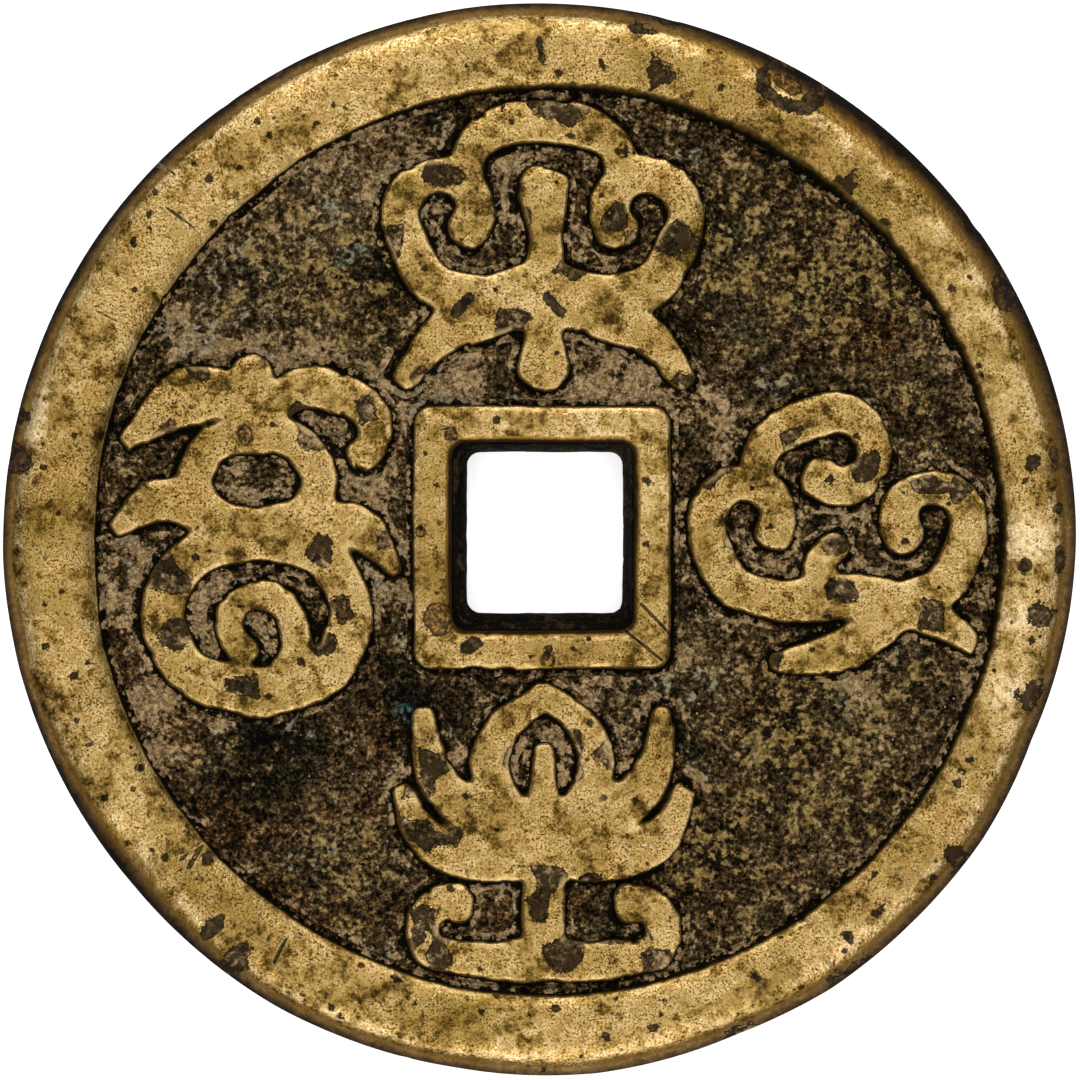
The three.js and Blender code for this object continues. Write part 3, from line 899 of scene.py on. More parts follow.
    # Flakes have lost the rubbed surface and show patina inside a dark border
    flake_line = mixed(tree, (skin["chips"], 1.0), (skin["ragged"], 0.3))
    flaked = between(tree, flake_line, -0.01, 0.03)
    flake_colour = colour_mix(tree, between(tree, skin["blot"], 0.25, 0.7), patina, paint(34, 22, 11))
    brass = coat(tree, brass, flaked, 0.93, flake_colour)
    flake_rim = both(tree, between(tree, flake_line, -0.04, 0.0), between(tree, flake_line, 0.09, 0.03))
    brass = coat(tree, brass, flake_rim, 0.85, paint(26, 17, 7))

    # Scratches are dark between bright lips
    scratch_line = mixed(tree, (skin["scratch"], 1.0), (skin["ragged"], 0.05), (skin["patch"], 0.03))
    scratched = between(tree, scratch_line, 0.012, 0.05)
    lip = both(tree, between(tree, scratch_line, -0.06, -0.01), between(tree, scratch_line, 0.03, 0.0))
    brass = coat(tree, brass, lip, 0.18, paint(232, 206, 156))
    brass = coat(tree, brass, scratched, 0.85, paint(34, 23, 8))

    deep = mixed(
        tree, (speck, 0.25), (pit, 0.7), (stained, 0.5), (scratched, 0.8), (rusted, 0.4), (flaked, 0.3)
    )
    dull = math_of(tree, "MAXIMUM", math_of(tree, "MAXIMUM", stained, flaked), blackened)
    dull = math_of(tree, "MAXIMUM", dull, both(tree, rusted, 0.6))
    return brass, deep, dull


def field_colour(tree, skin):
    """The field's patina: granular umber to black, taupe and grey skins, and gold that shows through."""
    level = mixed(
        tree, (skin["sand"], 0.15), (skin["dust"], 0.18), (skin["grain"], 0.28), (skin["speckle"], 0.24),
        (skin["blot"], 0.13), (skin["patch"], 0.14), (skin["cloud"], 0.08), (skin["blue"], -0.14),
        (skin["pale"], 0.14), (1.0, -0.125),
    )
    patina = ramp(
        tree, level,
        [
            (0.18, paint(3, 2, 0)), (0.31, paint(17, 12, 4)), (0.42, paint(42, 31, 14)),
            (0.54, paint(71, 55, 32)), (0.68, paint(113, 94, 62)), (0.84, paint(170, 153, 117)),
        ],
    )
    cold = mixed(tree, (skin["hue"], -1.0), (skin["blue"], 0.8), (skin["ragged"], 0.3), (1.0, 0.35))
    cold = between(tree, cold, -0.05, 0.4)
    patina = coat(tree, patina, cold, 0.8, paint(170, 190, 200), "MULTIPLY")
    ruddy = mixed(tree, (skin["hue"], 0.8), (skin["ruddy"], 0.4), (skin["ragged"], 0.4))
    ruddy = between(tree, ruddy, 0.55, 0.9)
    patina = coat(tree, patina, ruddy, 0.6, paint(255, 218, 196), "MULTIPLY")

    # Taupe skin lies near the reliefs, with holes in it, and grey skin further out
    near = both(tree, between(tree, skin["foot"], 1.4, 0.3), between(tree, skin["cloud"], 0.1, 0.6))
    taupe_depth = mixed(
        tree, (skin["pale"], 0.45), (near, 0.3), (skin["patch"], 0.45), (skin["blot"], 0.15),
        (skin["ragged"], 0.3), (skin["gold"], -0.14), (skin["blue"], -0.3),
    )
    hole = spots(tree, skin, 0.4, 0.75, 0.15)
    taupe_mask = both(tree, between(tree, taupe_depth, 0.56, 0.7), scaled(tree, hole, -0.8, 1.0))
    taupe_tone = mixed(
        tree, (skin["sand"], 0.3), (skin["grain"], 0.3), (skin["speckle"], 0.2), (skin["patch"], 0.2)
    )
    taupe = ramp(
        tree, taupe_tone, [(0.2, paint(54, 42, 26)), (0.5, paint(122, 99, 67)), (0.8, paint(186, 157, 116))]
    )
    grey_depth = mixed(
        tree, (skin["blot"], 0.6), (skin["hue"], -0.5), (skin["pale"], 0.25), (skin["ragged"], 0.4),
        (skin["blue"], -0.25),
    )
    grey_mask = between(tree, grey_depth, 0.42, 0.6)
    grey = ramp(tree, skin["grain"], [(0.1, paint(78, 75, 62)), (0.9, paint(158, 153, 132))])
    patina = coat(tree, patina, taupe_mask, 0.88, taupe)
    patina = coat(tree, patina, grey_mask, 0.7, grey)

    # Gold shows through between round dark spots, and a few grains get painted glints
    gold_depth = mixed(
        tree, (skin["gold"], 0.3), (skin["blot"], 0.5), (skin["ragged"], 0.4), (skin["patch"], 0.2)
    )
    spotted = spots(tree, skin, 0.36, 0.75, 0.17)
    gold_mask = both(tree, between(tree, gold_depth, 0.6, 0.76), scaled(tree, spotted, -0.95, 1.0))
    gold_colour = ramp(
        tree, mixed(tree, (skin["grain"], 0.6), (skin["dust"], 0.4)),
        [(0.1, paint(80, 63, 30)), (0.5, paint(120, 98, 52)), (0.9, paint(162, 136, 84))],
    )
    patina = coat(tree, patina, gold_mask, 0.92, gold_colour)
    painted_glint = spots(tree, skin, 0.4, 0.25, 0.036)
    return coat(tree, patina, painted_glint, 0.75, paint(186, 180, 158))


bump_depth = 0.024


def coin_brass(name, grain_offset):
    """Old cast brass: rubbed bare on the reliefs, under patina on the fields, dirty at the feet and edge,
    with painted shade there and painted highlights on facets, ridges and crowns.
    """
    material = bpy.data.materials.new(name)
    material.use_nodes = True
    tree = material.node_tree
    tree.nodes.clear()
    skin = skin_of(tree, grain_offset)
    patina = field_colour(tree, skin)
    brass, deep, dull = rubbed_colour(tree, skin, patina)

    # Walls climb from black through olive to bare metal: dirt and film at the foot with painted shade up the
    # wall, and the crown's edge has a painted highlight
    climb = mixed(tree, (skin["climb"], 1.0), (skin["ragged"], 0.3))
    wall_dirt_and_shade = ramp(
        tree, climb,
        [
            (0.0, paint(6, 4, 1)), (0.32, paint(22, 16, 5)), (0.64, paint(82, 61, 20)),
            (1.0, paint(152, 120, 56)),
        ],
    )
    bare = between(tree, climb, 0.56, 0.95)
    crest_highlight = both(tree, between(tree, skin["climb"], 0.8, 1.1), between(tree, skin["foot"], -0.42, -0.2))
    crest_highlight = both(tree, crest_highlight, between(tree, skin["patch"], 0.3, 0.8))
    brass = coat(tree, brass, crest_highlight, 0.42, paint(232, 198, 136))
    relief_colour = colour_mix(tree, bare, wall_dirt_and_shade, brass)
    # Painted near black in the hole and at its mouth: dirt with painted shade
    relief_colour = colour_mix(tree, skin["soot"], relief_colour, paint(6, 4, 2))

    # Dirt lies thick in the groove along each foot, darkened further by painted shade that reaches wider to
    # the lower right; the hole is painted near black, dirt with painted shade
    line = mixed(tree, (skin["foot"], 1.0), (skin["rough_line"], 0.46))
    outline = both(tree, between(tree, line, 0.16, 0.08), 0.95)
    dirt_and_shade = math_of(tree, "MAXIMUM", outline, skin["soot"])
    patina = colour_mix(tree, dirt_and_shade, patina, paint(8, 6, 2))
    on_relief = between(tree, skin["climb"], -0.06, 0.06)
    colour = colour_mix(tree, on_relief, patina, relief_colour)
    verdigris = both(tree, skin["green"], between(tree, skin["speckle"], 0.25, 0.8))
    verdigris_colour = ramp(tree, skin["grain"], [(0.1, paint(20, 50, 50)), (0.9, paint(92, 134, 126))])
    colour = colour_mix(tree, verdigris, colour, verdigris_colour)

    # Bare metal is smoother and shinier than patina, and its grain is finer
    metal = both(tree, both(tree, bare, on_relief), scaled(tree, dull, -0.85, 1.0))
    metallic = both(tree, metal, 0.95)
    roughness = mixed(tree, (metal, -0.36), (skin["speckle"], 0.08), (1.0, 0.72))
    height = mixed(
        tree, (skin["dust"], 0.25), (skin["grain"], 0.35), (skin["speckle"], 0.5), (skin["patch"], 0.7),
        (deep, -1.2),
    )
    height = both(tree, height, scaled(tree, metal, -0.6, 1.5))
    bump = put(tree, "ShaderNodeBump", {"Strength": 1.0, "Distance": bump_depth * MM, "Height": height})
    shine = scaled(tree, metal, 0.3, 0.03)
    shader = put(
        tree, "ShaderNodeBsdfPrincipled",
        {"Base Color": colour, "Metallic": metallic, "Roughness": roughness, "Normal": bump[0],
         "Specular IOR Level": shine},
    )
    put(tree, "ShaderNodeOutputMaterial", {"Surface": shader[0]})
    return material


def hole_radius(angles, height):
    """The radius of the square hole's wall at one height, from whichever solid holds that height."""
    if height > flan_high:
        tree = frame_solid["obverse"]
    elif height < flan_low:
        tree = frame_solid["reverse"]
    else:
        tree = flan_solid
    return reach(tree, angles, height)


# How far the painted shadow at the lower right of each relief reaches
shadow_step = 0.05
shadow_slope = 0.07
shadow_reach = 0.13
shadow_least = 0.02
hidden_wall = 0.16


def face_of_flan(side, angles):
    """The rings of one face's field: outwards on the front, and on the back inwards again."""
    inner = along(frame_foot[side], angles) - under_relief
    outer = along(rim_foot[side], angles) + under_relief
    shares = np.linspace(0, 1, field_rings[side])
    rings = []
    for share in shares if side == "obverse" else shares[::-1]:
        radius = inner + share * (outer - inner)
        x, y = radius * np.cos(angles), radius * np.sin(angles)
        distance = field_distance(side, x, y)

        # Painted shadow: the dark border at the foot reaches further out at the lower right of a relief
        falls_away = field_distance(side, x + shadow_step, y - shadow_step) - distance
        shaded = shadow_reach * np.clip(falls_away / shadow_slope, 0, 1) * smooth(0.5, 0.1, distance)
        foot = np.where(distance > shadow_least, np.maximum(distance - shaded, shadow_least), distance)
        groove = groove_depth * np.exp(-((distance / field_groove) ** 2))
        under_skirt = skirt_drop * smooth(0, -0.2, distance - 0.75 * relief_skirt)
        sunk = groove + under_skirt
        height = field_height(side, x, y) - (sunk if side == "obverse" else -sunk)
        rings.append(ring(radius, height, foot=foot))
    return rings


def flan_mesh():
    """Up the hole's wall, out over the front, down the filed edge and in again over the back."""
    angles = turn(flan_steps)
    rings = []
    for level in np.linspace(flan_low + 0.01, flan_high - 0.01, wall_rings):
        # The hole's wall is painted near black: dirt with painted shade
        rings.append(ring(hole_radius(angles, level), level, rough=1.0, foot=0.05, soot=0.9))
    rings += face_of_flan("obverse", angles)
    rim_of_coin = edge_radius(angles)
    for level in np.linspace(flan_high - edge_under_rim, flan_low + edge_under_rim, edge_rings):
        swell = 0.04 * (1 - (level - middle_height) ** 2)
        line = flat_points(rim_of_coin * np.cos(angles), rim_of_coin * np.sin(angles)) + level
        # The filed side is painted golden brown to black: dirt, with painted shade
        edge_darkening = 0.55 + 0.25 * edge_dirt_and_shade(angles) + 0.16 * waves(line, 2.4, 93) + 0.1 * waves(line, 0.8, 94)
        rings.append(ring(rim_of_coin - 0.05 + swell, level, rough=0.4, foot=-0.6, edge=edge_darkening))
    rings += face_of_flan("reverse", angles)
    layers = stacked(rings, angles)
    points = ring_points(angles, layers)
    points += normals_of(points) * (layers["rough"] * casting_skin(points))[..., None]
    mesh = ring_mesh("flan", points)
    layers["climb"] = -layers["foot"] / hidden_wall
    store_finish(mesh, points.reshape(-1, 3), **layers)
    return mesh


field_patina = coin_brass("field_patina", 0.0)
finished("flan_casting", flan_mesh(), field_patina, "flan")

# Outer rims. A raised ring on each face, cast with the flan and rubbed bare by handling. The outer edge
# was filed and has worn round, and the inner wall drops to the field with the mould's draft.
rubbed_brass = coin_brass("rubbed_brass", 3.0)
rim_steps = {"obverse": 1200, "reverse": 860}
rim_top_cuts = {"obverse": 60, "reverse": 42}
rim_side_cuts = 4
rim_sunk = 0.35
rim_flakes = 0.018
ridge_round = 0.1
bevel_deepest = 0.62
bevel_widths = [0.95, 1.2, 1.35, 1.2, 0.7, 0.65, 0.75, 0.75, 0.6, 0.7, 1.1, 0.8, 0.75, 0.85, 0.95, 0.85]
bevel_slopes = [0.8, 0.8, 0.75, 0.75, 0.9, 0.9, 0.9, 0.9, 0.7, 0.8, 0.9, 0.85, 0.8, 0.85, 0.8, 0.7]


def swept_rim_tree():
    """Geometry nodes that sweep a rectangular section round a circle, finest on the face that shows."""
    tree = bpy.data.node_groups.new("swept_rim", "GeometryNodeTree")
    sockets = {}
    for label, kind in (
        ("Path Radius", "Float"), ("Ring Width", "Float"), ("Ring Height", "Float"),
        ("Middle Height", "Float"), ("Face Cuts", "Int"), ("Side Cuts", "Int"), ("Face", "Int"),
        ("Steps Around", "Int"),
    ):
        made = tree.interface.new_socket(name=label, in_out="INPUT", socket_type=f"NodeSocket{kind}")
        sockets[label] = made.identifier
    sockets["Finish"] = tree.interface.new_socket(
        name="Finish", in_out="INPUT", socket_type="NodeSocketMaterial"
    ).identifier
    tree.interface.new_socket(name="Geometry", in_out="OUTPUT", socket_type="NodeSocketGeometry")
    given = tree.nodes.new("NodeGroupInput").outputs
    path = put(
        tree, "GeometryNodeCurvePrimitiveCircle",
        {"Resolution": given["Steps Around"], "Radius": given["Path Radius"]},
    )
    section = put(
        tree, "GeometryNodeCurvePrimitiveQuadrilateral",
        {"Width": given["Ring Width"], "Height": given["Ring Height"]},
    )
    corner = tree.nodes.new("GeometryNodeInputIndex").outputs[0]
    on_face = math_of(tree, "COMPARE", corner, given["Face"], 0.1)
    extra = math_of(tree, "SUBTRACT", given["Face Cuts"], given["Side Cuts"])
    cuts = math_of(tree, "MULTIPLY_ADD", on_face, extra, given["Side Cuts"])
    fine_section = put(tree, "GeometryNodeSubdivideCurve", {"Curve": section[0], "Cuts": cuts})
    swept = put(tree, "GeometryNodeCurveToMesh", {"Curve": path[0], "Profile Curve": fine_section[0]})
    lift = put(tree, "ShaderNodeCombineXYZ", {"Z": given["Middle Height"]})
    lifted = put(tree, "GeometryNodeTransform", {"Geometry": swept[0], "Translation": lift[0]})
    real = put(tree, "GeometryNodeRealizeInstances", {"Geometry": lifted[0]})
    painted = put(tree, "GeometryNodeSetMaterial", {"Geometry": real[0], "Material": given["Finish"]})
    put(tree, "NodeGroupOutput", {"Geometry": painted[0]})
    return tree, sockets


rim_tree, rim_sockets = swept_rim_tree()


def swept_rim(name, side):
    """The rim as the mould gives it, with its inner radius: a plain ring sunk a little into the flan."""
    carrier = bpy.data.objects.new(name, bpy.data.meshes.new(name))
    bpy.context.scene.collection.objects.link(carrier)
    modifier = carrier.modifiers.new("sweep", "NODES")
    modifier.node_group = rim_tree
    inner = rim_foot[side].mean() - relief_skirt
    height = coin_top - flan_high + rim_sunk
    middle = coin_top - height / 2 if side == "obverse" else height / 2
    values = {
        "Path Radius": (inner + coin_radius) / 2 * MM,
        "Ring Width": (coin_radius - inner) * MM,
        "Ring Height": height * MM,
        "Middle Height": middle * MM,
        "Face Cuts": rim_top_cuts[side],
        "Side Cuts": rim_side_cuts,
        "Face": 0 if side == "obverse" else 2,
        "Steps Around": rim_steps[side],
        "Finish": rubbed_brass,
    }
    for label, value in values.items():
        modifier[rim_sockets[label]] = value
    ready = carrier.evaluated_get(bpy.context.evaluated_depsgraph_get())
    mesh = bpy.data.meshes.new_from_object(ready)
    bpy.data.objects.remove(carrier)
    return mesh, inner


def rim_wear(side):
    """Wears the swept ring: the field's circle, the drafted wall, the filed edge, dents and flakes."""
    mesh, inner = swept_rim(f"{side}_rim_casting", side)
    points = np.zeros(len(mesh.vertices) * 3)
    mesh.vertices.foreach_get("co", points)
    points = points.reshape(-1, 3) / MM
    reverse = side == "reverse"
    height_out = points[:, 2] if reverse else coin_top - points[:, 2]
    radius = np.hypot(points[:, 0], points[:, 1])
    angle = np.arctan2(points[:, 1], points[:, 0])
    share = (radius - inner) / (coin_radius - inner)

    # The ring's width follows the hand-cut foot inside and the filed edge outside
    inner_now = along(rim_foot[side], angle) - relief_skirt
    outer_now = edge_radius(angle)
    radius = inner_now + share * (outer_now - inner_now)
    x, y = radius * np.cos(angle), radius * np.sin(angle)
    line = flat_points(x, y) + (60 if reverse else 0)
    from_foot = radius - (inner_now + relief_skirt)

    # The wall leans most at the upper right, where its dark border is widest in the photograph
    relief = coin_top - flan_high + field_dip
    wall = 0.15 + 0.07 * (1 + np.cos(angle)) + 0.28 * smooth(0.2, 1.0, np.cos(angle - 0.75))
    climb = from_foot / wall
    drop = relief * (1 - wall_rise(climb, from_foot)) + foot_drop(from_foot, relief_groove)

    # The bevel runs from a rounded ridge down to the edge
    width = np.interp(angle % (2 * math.pi), bevel_angles, bevel_widths, period=2 * math.pi)
    slope = np.interp(angle % (2 * math.pi), bevel_angles, bevel_slopes, period=2 * math.pi)
    width = width * (1 + 0.16 * waves(line, 4.0, 51) + 0.14 * waves(line, 1.3, 52))
    past_ridge = radius - (outer_now - width)
    into_bevel = np.clip(past_ridge / width, 0, 1)
    chamfer = np.sqrt(np.maximum(past_ridge, 0) ** 2 + ridge_round ** 2) - ridge_round
    drop += np.minimum(slope * chamfer * (0.55 + 0.45 * into_bevel), bevel_deepest)
    drop += 0.12 * into_bevel ** 6

    # Knocks, flakes and the casting skin that wear has left
    drop += dent_depth(y, x) if reverse else dent_depth(x, y)
    flat = smooth(0.1, 0.6, from_foot)
    hammered = 0.04 * (1 + waves(line, 5.0, 53)) + 0.018 * (1 + waves(line, 1.8, 54))
    chips = chip_depth(line, rim_flakes, 57)
    drop += flat * (hammered + 0.02 + flake_depth * smooth(-0.02, 0.06, chips))
    drop -= flat * 0.35 * casting_skin(line)
    full = coin_top - flan_high + rim_sunk
    drop = np.clip(drop, 0, full - 0.2) * (1 - height_out / full)
    points[:, 0] = x
    points[:, 1] = y
    points[:, 2] = np.clip(points[:, 2] + (drop if reverse else -drop), 0, coin_top)
    mesh.vertices.foreach_set("co", (points * MM).astype(np.float32).ravel())
    mesh.polygons.foreach_set("use_smooth", np.ones(len(mesh.polygons), bool))
    mesh.update()
    # Painted dark down the bevel and the filed side, dirt with painted shade; the painted highlight ridge
    # lies just inside the bevel
    edge = np.clip(past_ridge / width, far_from_edge, 1)
    edge = np.where(edge > 0, edge * (0.6 + 0.65 * edge_dirt_and_shade(angle)), edge)
    down_side = smooth(0.3, 0.75, height_out) * (share > 0.98)
    edge = edge + down_side * (0.55 + 0.25 * edge_dirt_and_shade(angle) - edge)
    store_finish(mesh, points, foot=-from_foot, climb=climb, edge=edge, chips=chips)
    return mesh


for side in ("obverse", "reverse"):
    finished(f"{side}_rim_casting", rim_wear(side), rubbed_brass, f"{side}_outer_rim")

# Inner rims. The raised square frame round the hole on each face, cast with the flan. Its outer wall
# stands nearly upright, and its inner edge was filed as the coins were strung on a square rod.
frame_steps = {"obverse": 1200, "reverse": 720}
frame_rings = {"obverse": 40, "reverse": 28}
frame_wall_rings = 7
frame_flakes = 0.015
mouth_round = 0.38
mouth_drop = 0.26
mouth_shading = 0.3


def inner_rim_mesh(side):
    """Up the hole's wall, over the rounded mouth and the rubbed top, and down outside to the field."""
    angles = turn(frame_steps[side])
    reverse = side == "reverse"
    base = flan_low if reverse else flan_high
    out = -1 if reverse else 1
    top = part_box(f"{side}_inner_rim")[0 if reverse else 1].z / MM
    mouth = hole_radius(angles, top - out * 0.03)
    line = flat_points(mouth * np.cos(angles), mouth * np.sin(angles))
    mouth = mouth + 0.08 * waves(line, 2.6, 61) + 0.03 * waves(line, 0.6, 62)
    # 1 on the bars above and below the hole, which face the lamps and get a painted highlight ridge at the
    # mouth
    upright = smooth(0.1, -0.1, np.abs(np.cos(angles)) - np.abs(np.sin(angles)))
    foot = along(frame_foot[side], angles)
    leaning = along(frame_lean[side], angles)
    outer = foot + relief_skirt / leaning
    wall = 0.09 + 0.12 * np.clip(np.cos(angles), 0, 1)
    rings = []
    for level in np.linspace(base - out * 0.15, top - out * mouth_drop, frame_wall_rings):
        radius = hole_radius(angles, level)
        # The hole's wall is painted near black: dirt with painted shade
        rings.append(ring(radius, level, foot=0.05, climb=-0.3, edge=1.2, soot=0.9))
    for share in np.linspace(0, 1, frame_rings[side])[1:] ** 0.9:
        radius = mouth + share * (outer - mouth)
        x, y = radius * np.cos(angles), radius * np.sin(angles)
        line = flat_points(x, y) + (60 if reverse else 0)
        from_foot = (foot - radius) * leaning
        from_mouth = (radius - mouth) * leaning
        climb = from_foot / wall
        drop = (abs(top - base) + field_dip) * (1 - wall_rise(climb, from_foot))
        drop += foot_drop(from_foot, relief_groove)
        into_mouth = np.clip(1 - from_mouth / mouth_round, 0, 1)
        drop += mouth_drop * (1 - np.sqrt(1 - 0.98 * into_mouth ** 2))
        drop += 0.03 * (1 + waves(line, 3.2, 63)) + 0.015 * (1 + waves(line, 1.0, 64))
        chips = chip_depth(line, frame_flakes, 65)
        on_top = smooth(0.0, 0.3, from_foot)
        drop += on_top * (flake_depth * smooth(-0.02, 0.06, chips) - 0.3 * casting_skin(line))
        drop += 0.0 if reverse else dent_depth(x, y)
        # The mouth is painted golden brown to black towards the hole, dirt with painted shade; the painted
        # highlight ridge beside it shows only on the bars above and below
        edge = 1 - from_mouth / (mouth_shading * (1 + 0.3 * waves(line, 1.6, 66)))
        flat_edge = np.maximum(edge, far_from_edge) * upright + far_from_edge * (1 - upright)
        rings.append(
            ring(
                radius, top - out * drop, foot=-from_foot, climb=np.minimum(climb, from_mouth / 0.06),
                edge=np.where(edge < 0, flat_edge, edge), soot=smooth(0.16, 0.02, from_mouth) * 0.95,
                chips=chips,
            )
        )
    rings.append(ring(outer, base - out * 0.3, foot=0.4, climb=-3.0))
    layers = stacked(rings[::-1] if reverse else rings, angles)
    points = ring_points(angles, layers)
    mesh = ring_mesh(f"{side}_frame_casting", points)
    store_finish(mesh, points.reshape(-1, 3), **layers)
    return mesh


for side in ("obverse", "reverse"):
    finished(
        f"{side}_frame_casting", inner_rim_mesh(side), rubbed_brass, f"{side}_inner_rim"
    )

# Ornaments. Four reliefs with brush-drawn strokes, cut into the mould by hand and cast with the flan.
# Their flat tops are rubbed bare, and the grooves at their feet hold dirt and patina.
ornament_pitch = 0.052
ornament_base = 0.4
ornament_groove = 0.16
ornament_flakes = 0.1
ornament_flake_depth = 0.07
faces_kept = 0.62
ornament_names = {
    "cloud_ornament": "cloud_relief",
    "scroll_ornament": "scroll_relief",
    "lotus_ornament": "lotus_relief",
    "gourd_ornament": "gourd_relief",
}


def closed_patch(name, x, y, top, low, keep):
    """The kept cells of a height grid, as a closed solid with a flat base."""
    # Cells that touch only at a corner would pinch the solid, so the cells beside them are kept too
    while True:
        a, b = keep[:-1, :-1] & keep[1:, 1:], keep[:-1, 1:] & keep[1:, :-1]
        c, d = keep[:-1, 1:] | keep[1:, :-1], keep[:-1, :-1] | keep[1:, 1:]
        pinched = (a & ~c) | (b & ~d)
        if not pinched.any():
            break
        for rows in (slice(None, -1), slice(1, None)):
            for columns in (slice(None, -1), slice(1, None)):
                keep[rows, columns] |= pinched
    used = np.zeros(top.shape, bool)
    for rows in (slice(None, -1), slice(1, None)):
        for columns in (slice(None, -1), slice(1, None)):
            used[rows, columns] |= keep
    index = np.full(top.shape, -1)
    index[used] = np.arange(used.sum())
    count = used.sum()
    upper = np.stack([x[used], y[used], top[used]], axis=-1)
    lower = np.stack([x[used], y[used], np.full(count, low)], axis=-1)
    corner = [index[:-1, :-1], index[:-1, 1:], index[1:, 1:], index[1:, :-1]]
    tops = np.stack([c[keep] for c in corner], axis=-1)
    faces = [tops, tops[:, ::-1] + count]
    padded = np.pad(keep, 1)
    neighbours = [padded[:-2, 1:-1], padded[1:-1, 2:], padded[2:, 1:-1], padded[1:-1, :-2]]
    for edge, neighbour in enumerate(neighbours):
        open_edge = keep & ~neighbour
        a, b = corner[edge][open_edge], corner[(edge + 1) % 4][open_edge]
        faces.append(np.stack([b, a, a + count, b + count], axis=-1))
    points = np.concatenate([upper, lower])
    return mesh_of(name, points, np.concatenate(faces)), points, used


def thinned(mesh):
    """The mesh with fewer faces: mostly the flat, hidden underside merges into larger ones."""
    carrier = bpy.data.objects.new(mesh.name, mesh)
    bpy.context.scene.collection.objects.link(carrier)
    carrier.modifiers.new("thin", "DECIMATE").ratio = faces_kept
    ready = carrier.evaluated_get(bpy.context.evaluated_depsgraph_get())
    thin = bpy.data.meshes.new_from_object(ready)
    bpy.data.objects.remove(carrier)
    return thin


def ornament_mesh(node):
    """A relief as a fine grid of heights, from its groove up the drafted wall to the worn top."""
    low, high = ornament_box[node]
    margin = relief_skirt + 0.1
    x, y = np.meshgrid(
        np.arange(low.x - margin, high.x + margin, ornament_pitch),
        np.arange(low.y - margin, high.y + margin, ornament_pitch),
    )
    distance = ornament_distance(node, x, y)
    from_foot = -distance
    line = flat_points(x, y)
    out_y, out_x = np.gradient(distance, ornament_pitch)

    # Walls on the left and below lean more, where their dark borders are wider in the photograph
    leaning = np.clip(-0.8 * out_x - 0.4 * out_y + 0.4 * waves(line, 3.0, 77), 0, 1)
    climb = from_foot / (0.1 + 0.2 * leaning)
    base = field_height("obverse", x, y) - foot_drop(from_foot, ornament_groove)
    chips = chip_depth(line, ornament_flakes, 75)
    worn_top = high.z - 0.045 * (1 + waves(line, 2.4, 71)) - 0.02 * (1 + waves(line, 0.9, 72))
    worn_top = worn_top + 0.35 * casting_skin(line) - ornament_flake_depth * smooth(-0.03, 0.06, chips)
    height = base + (worn_top - base) * wall_rise(climb, from_foot)
    near = distance < relief_skirt
    keep = near[:-1, :-1] | near[1:, :-1] | near[:-1, 1:] | near[1:, 1:]
    bottom = flan_high - ornament_base
    mesh, points, used = closed_patch(ornament_names[node], x, y, height, bottom, keep)
    rim_gap = along(rim_foot["obverse"], np.arctan2(y, x)) - np.hypot(x, y)
    foot = np.minimum(distance, np.where(rim_gap < 0.6, rim_gap, 9))
    layers = {"foot": foot, "climb": climb, "chips": chips}
    store_finish(mesh, points, **{key: np.tile(layer[used], 2) for key, layer in layers.items()})
    return thinned(mesh)


for node in ornament_nodes:
    finished(ornament_names[node], ornament_mesh(node), rubbed_brass, node)

# Studio. A pale table top under the coin, soft lamps above and below it in the picture, and a long lens
# that looks straight down.
floor_size = 1.2
floor_glow = 0.6
lamp_out = 0.26
lamp_up = 0.3
lamp_size = (0.36, 0.12)
sky_level = 0.17
sky_overhead = 1.08


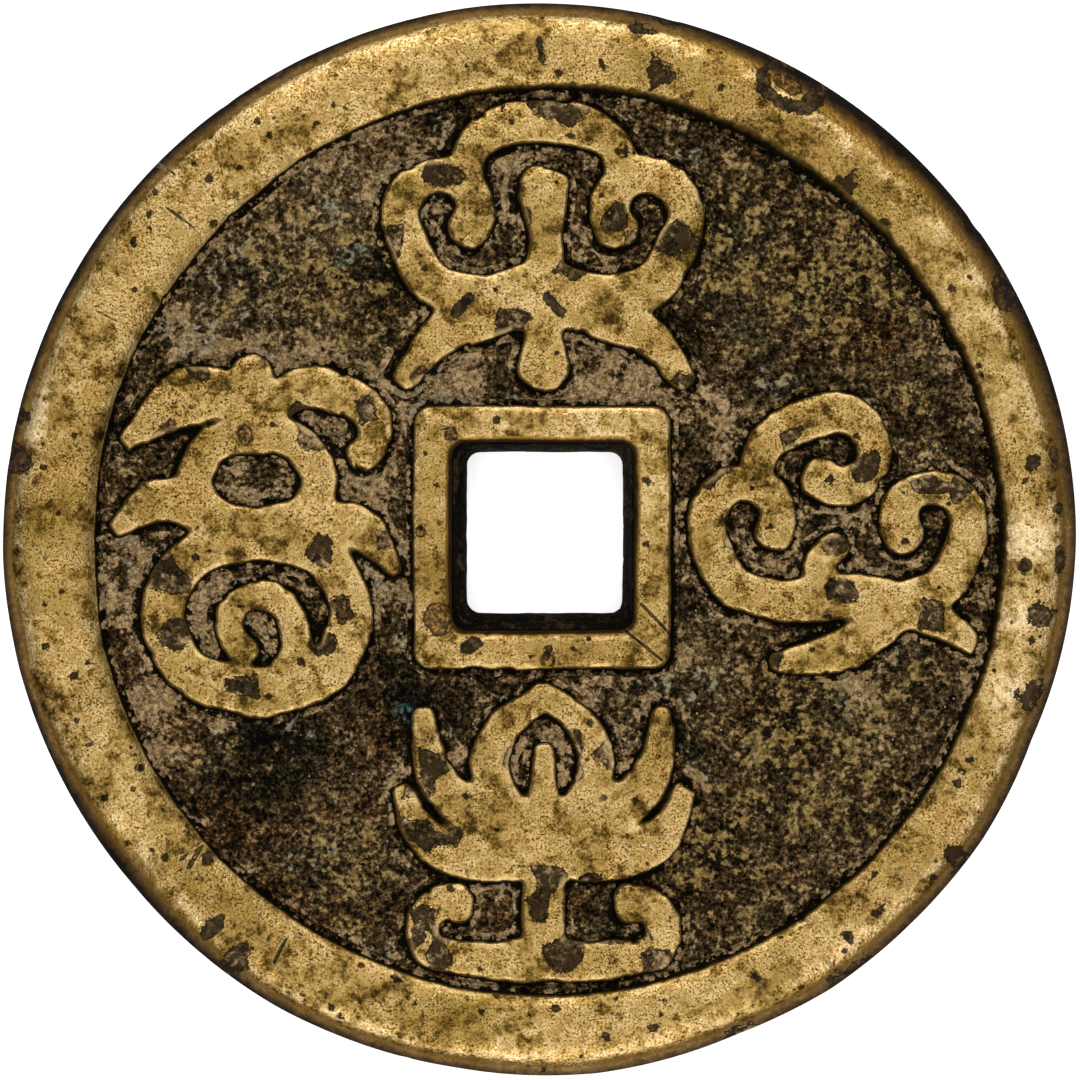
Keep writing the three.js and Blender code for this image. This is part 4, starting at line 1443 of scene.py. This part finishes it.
def table_top():
    """A plain white floor that shows white to the camera and in the metal, and keeps the shadow."""
    mesh = bpy.data.meshes.new("table_top")
    half = floor_size / 2
    corners = [(-half, -half, 0), (half, -half, 0), (half, half, 0), (-half, half, 0)]
    mesh.from_pydata(corners, [], [(0, 1, 2, 3)])
    material = bpy.data.materials.new("table_top")
    material.use_nodes = True
    tree = material.node_tree
    tree.nodes.clear()
    rays = tree.nodes.new("ShaderNodeLightPath").outputs
    seen_in_metal = math_of(tree, "MAXIMUM", rays["Is Glossy Ray"], rays["Is Transmission Ray"])
    seen = math_of(tree, "MAXIMUM", rays["Is Camera Ray"], seen_in_metal)
    cloth = put(tree, "ShaderNodeBsdfDiffuse", {"Color": (0.9, 0.9, 0.9, 1.0)})
    strength = both(tree, seen, floor_glow)
    glow = put(tree, "ShaderNodeEmission", {"Color": (1.0, 1.0, 1.0, 1.0), "Strength": strength})
    surface = put(tree, "ShaderNodeAddShader", {0: cloth[0], 1: glow[0]})
    put(tree, "ShaderNodeOutputMaterial", {"Surface": surface[0]})
    mesh.materials.append(material)
    floor = bpy.data.objects.new("table_top", mesh)
    bpy.context.scene.collection.objects.link(floor)


def lamp(name, place, size, power):
    """A soft rectangular lamp that points at the coin's middle."""
    light = bpy.data.lights.new(name, "AREA")
    light.shape = "RECTANGLE"
    light.size, light.size_y = size
    light.energy = power
    source = bpy.data.objects.new(name, light)
    source.location = place
    source.rotation_euler = (-Vector(place)).to_track_quat("-Z", "Y").to_euler()
    bpy.context.scene.collection.objects.link(source)


table_top()
lamp("lamp_above", (0.0, lamp_out, lamp_up), lamp_size, 0.66)
lamp("lamp_below", (0.0, -lamp_out, lamp_up), lamp_size, 0.52)

world = bpy.data.worlds.new("studio")
world.use_nodes = True
sky = world.node_tree
background = sky.nodes["Background"]
sky_z = parts_of(sky, sky.nodes.new("ShaderNodeTexCoord").outputs["Generated"])[2]
overhead = between(sky, sky_z, 0.66, 0.97)
dome = scaled(sky, overhead, sky_overhead, sky_level)
sky.links.new(dome, background.inputs["Strength"])
background.inputs["Color"].default_value = (1.0, 1.0, 1.0, 1.0)
bpy.context.scene.world = world
bpy.context.scene.view_settings.view_transform = "Standard"

lens = 150.0
sensor = 36.0
picture_width = 1080
picture_width_at_coin = picture_width * pixel * MM
camera_data = bpy.data.cameras.new("camera")
camera_data.lens = lens
camera_data.sensor_width = sensor
camera = bpy.data.objects.new("camera", camera_data)
camera.location = (0, 0, coin_top * MM + picture_width_at_coin * lens / sensor)
bpy.context.scene.collection.objects.link(camera)
bpy.context.scene.camera = camera
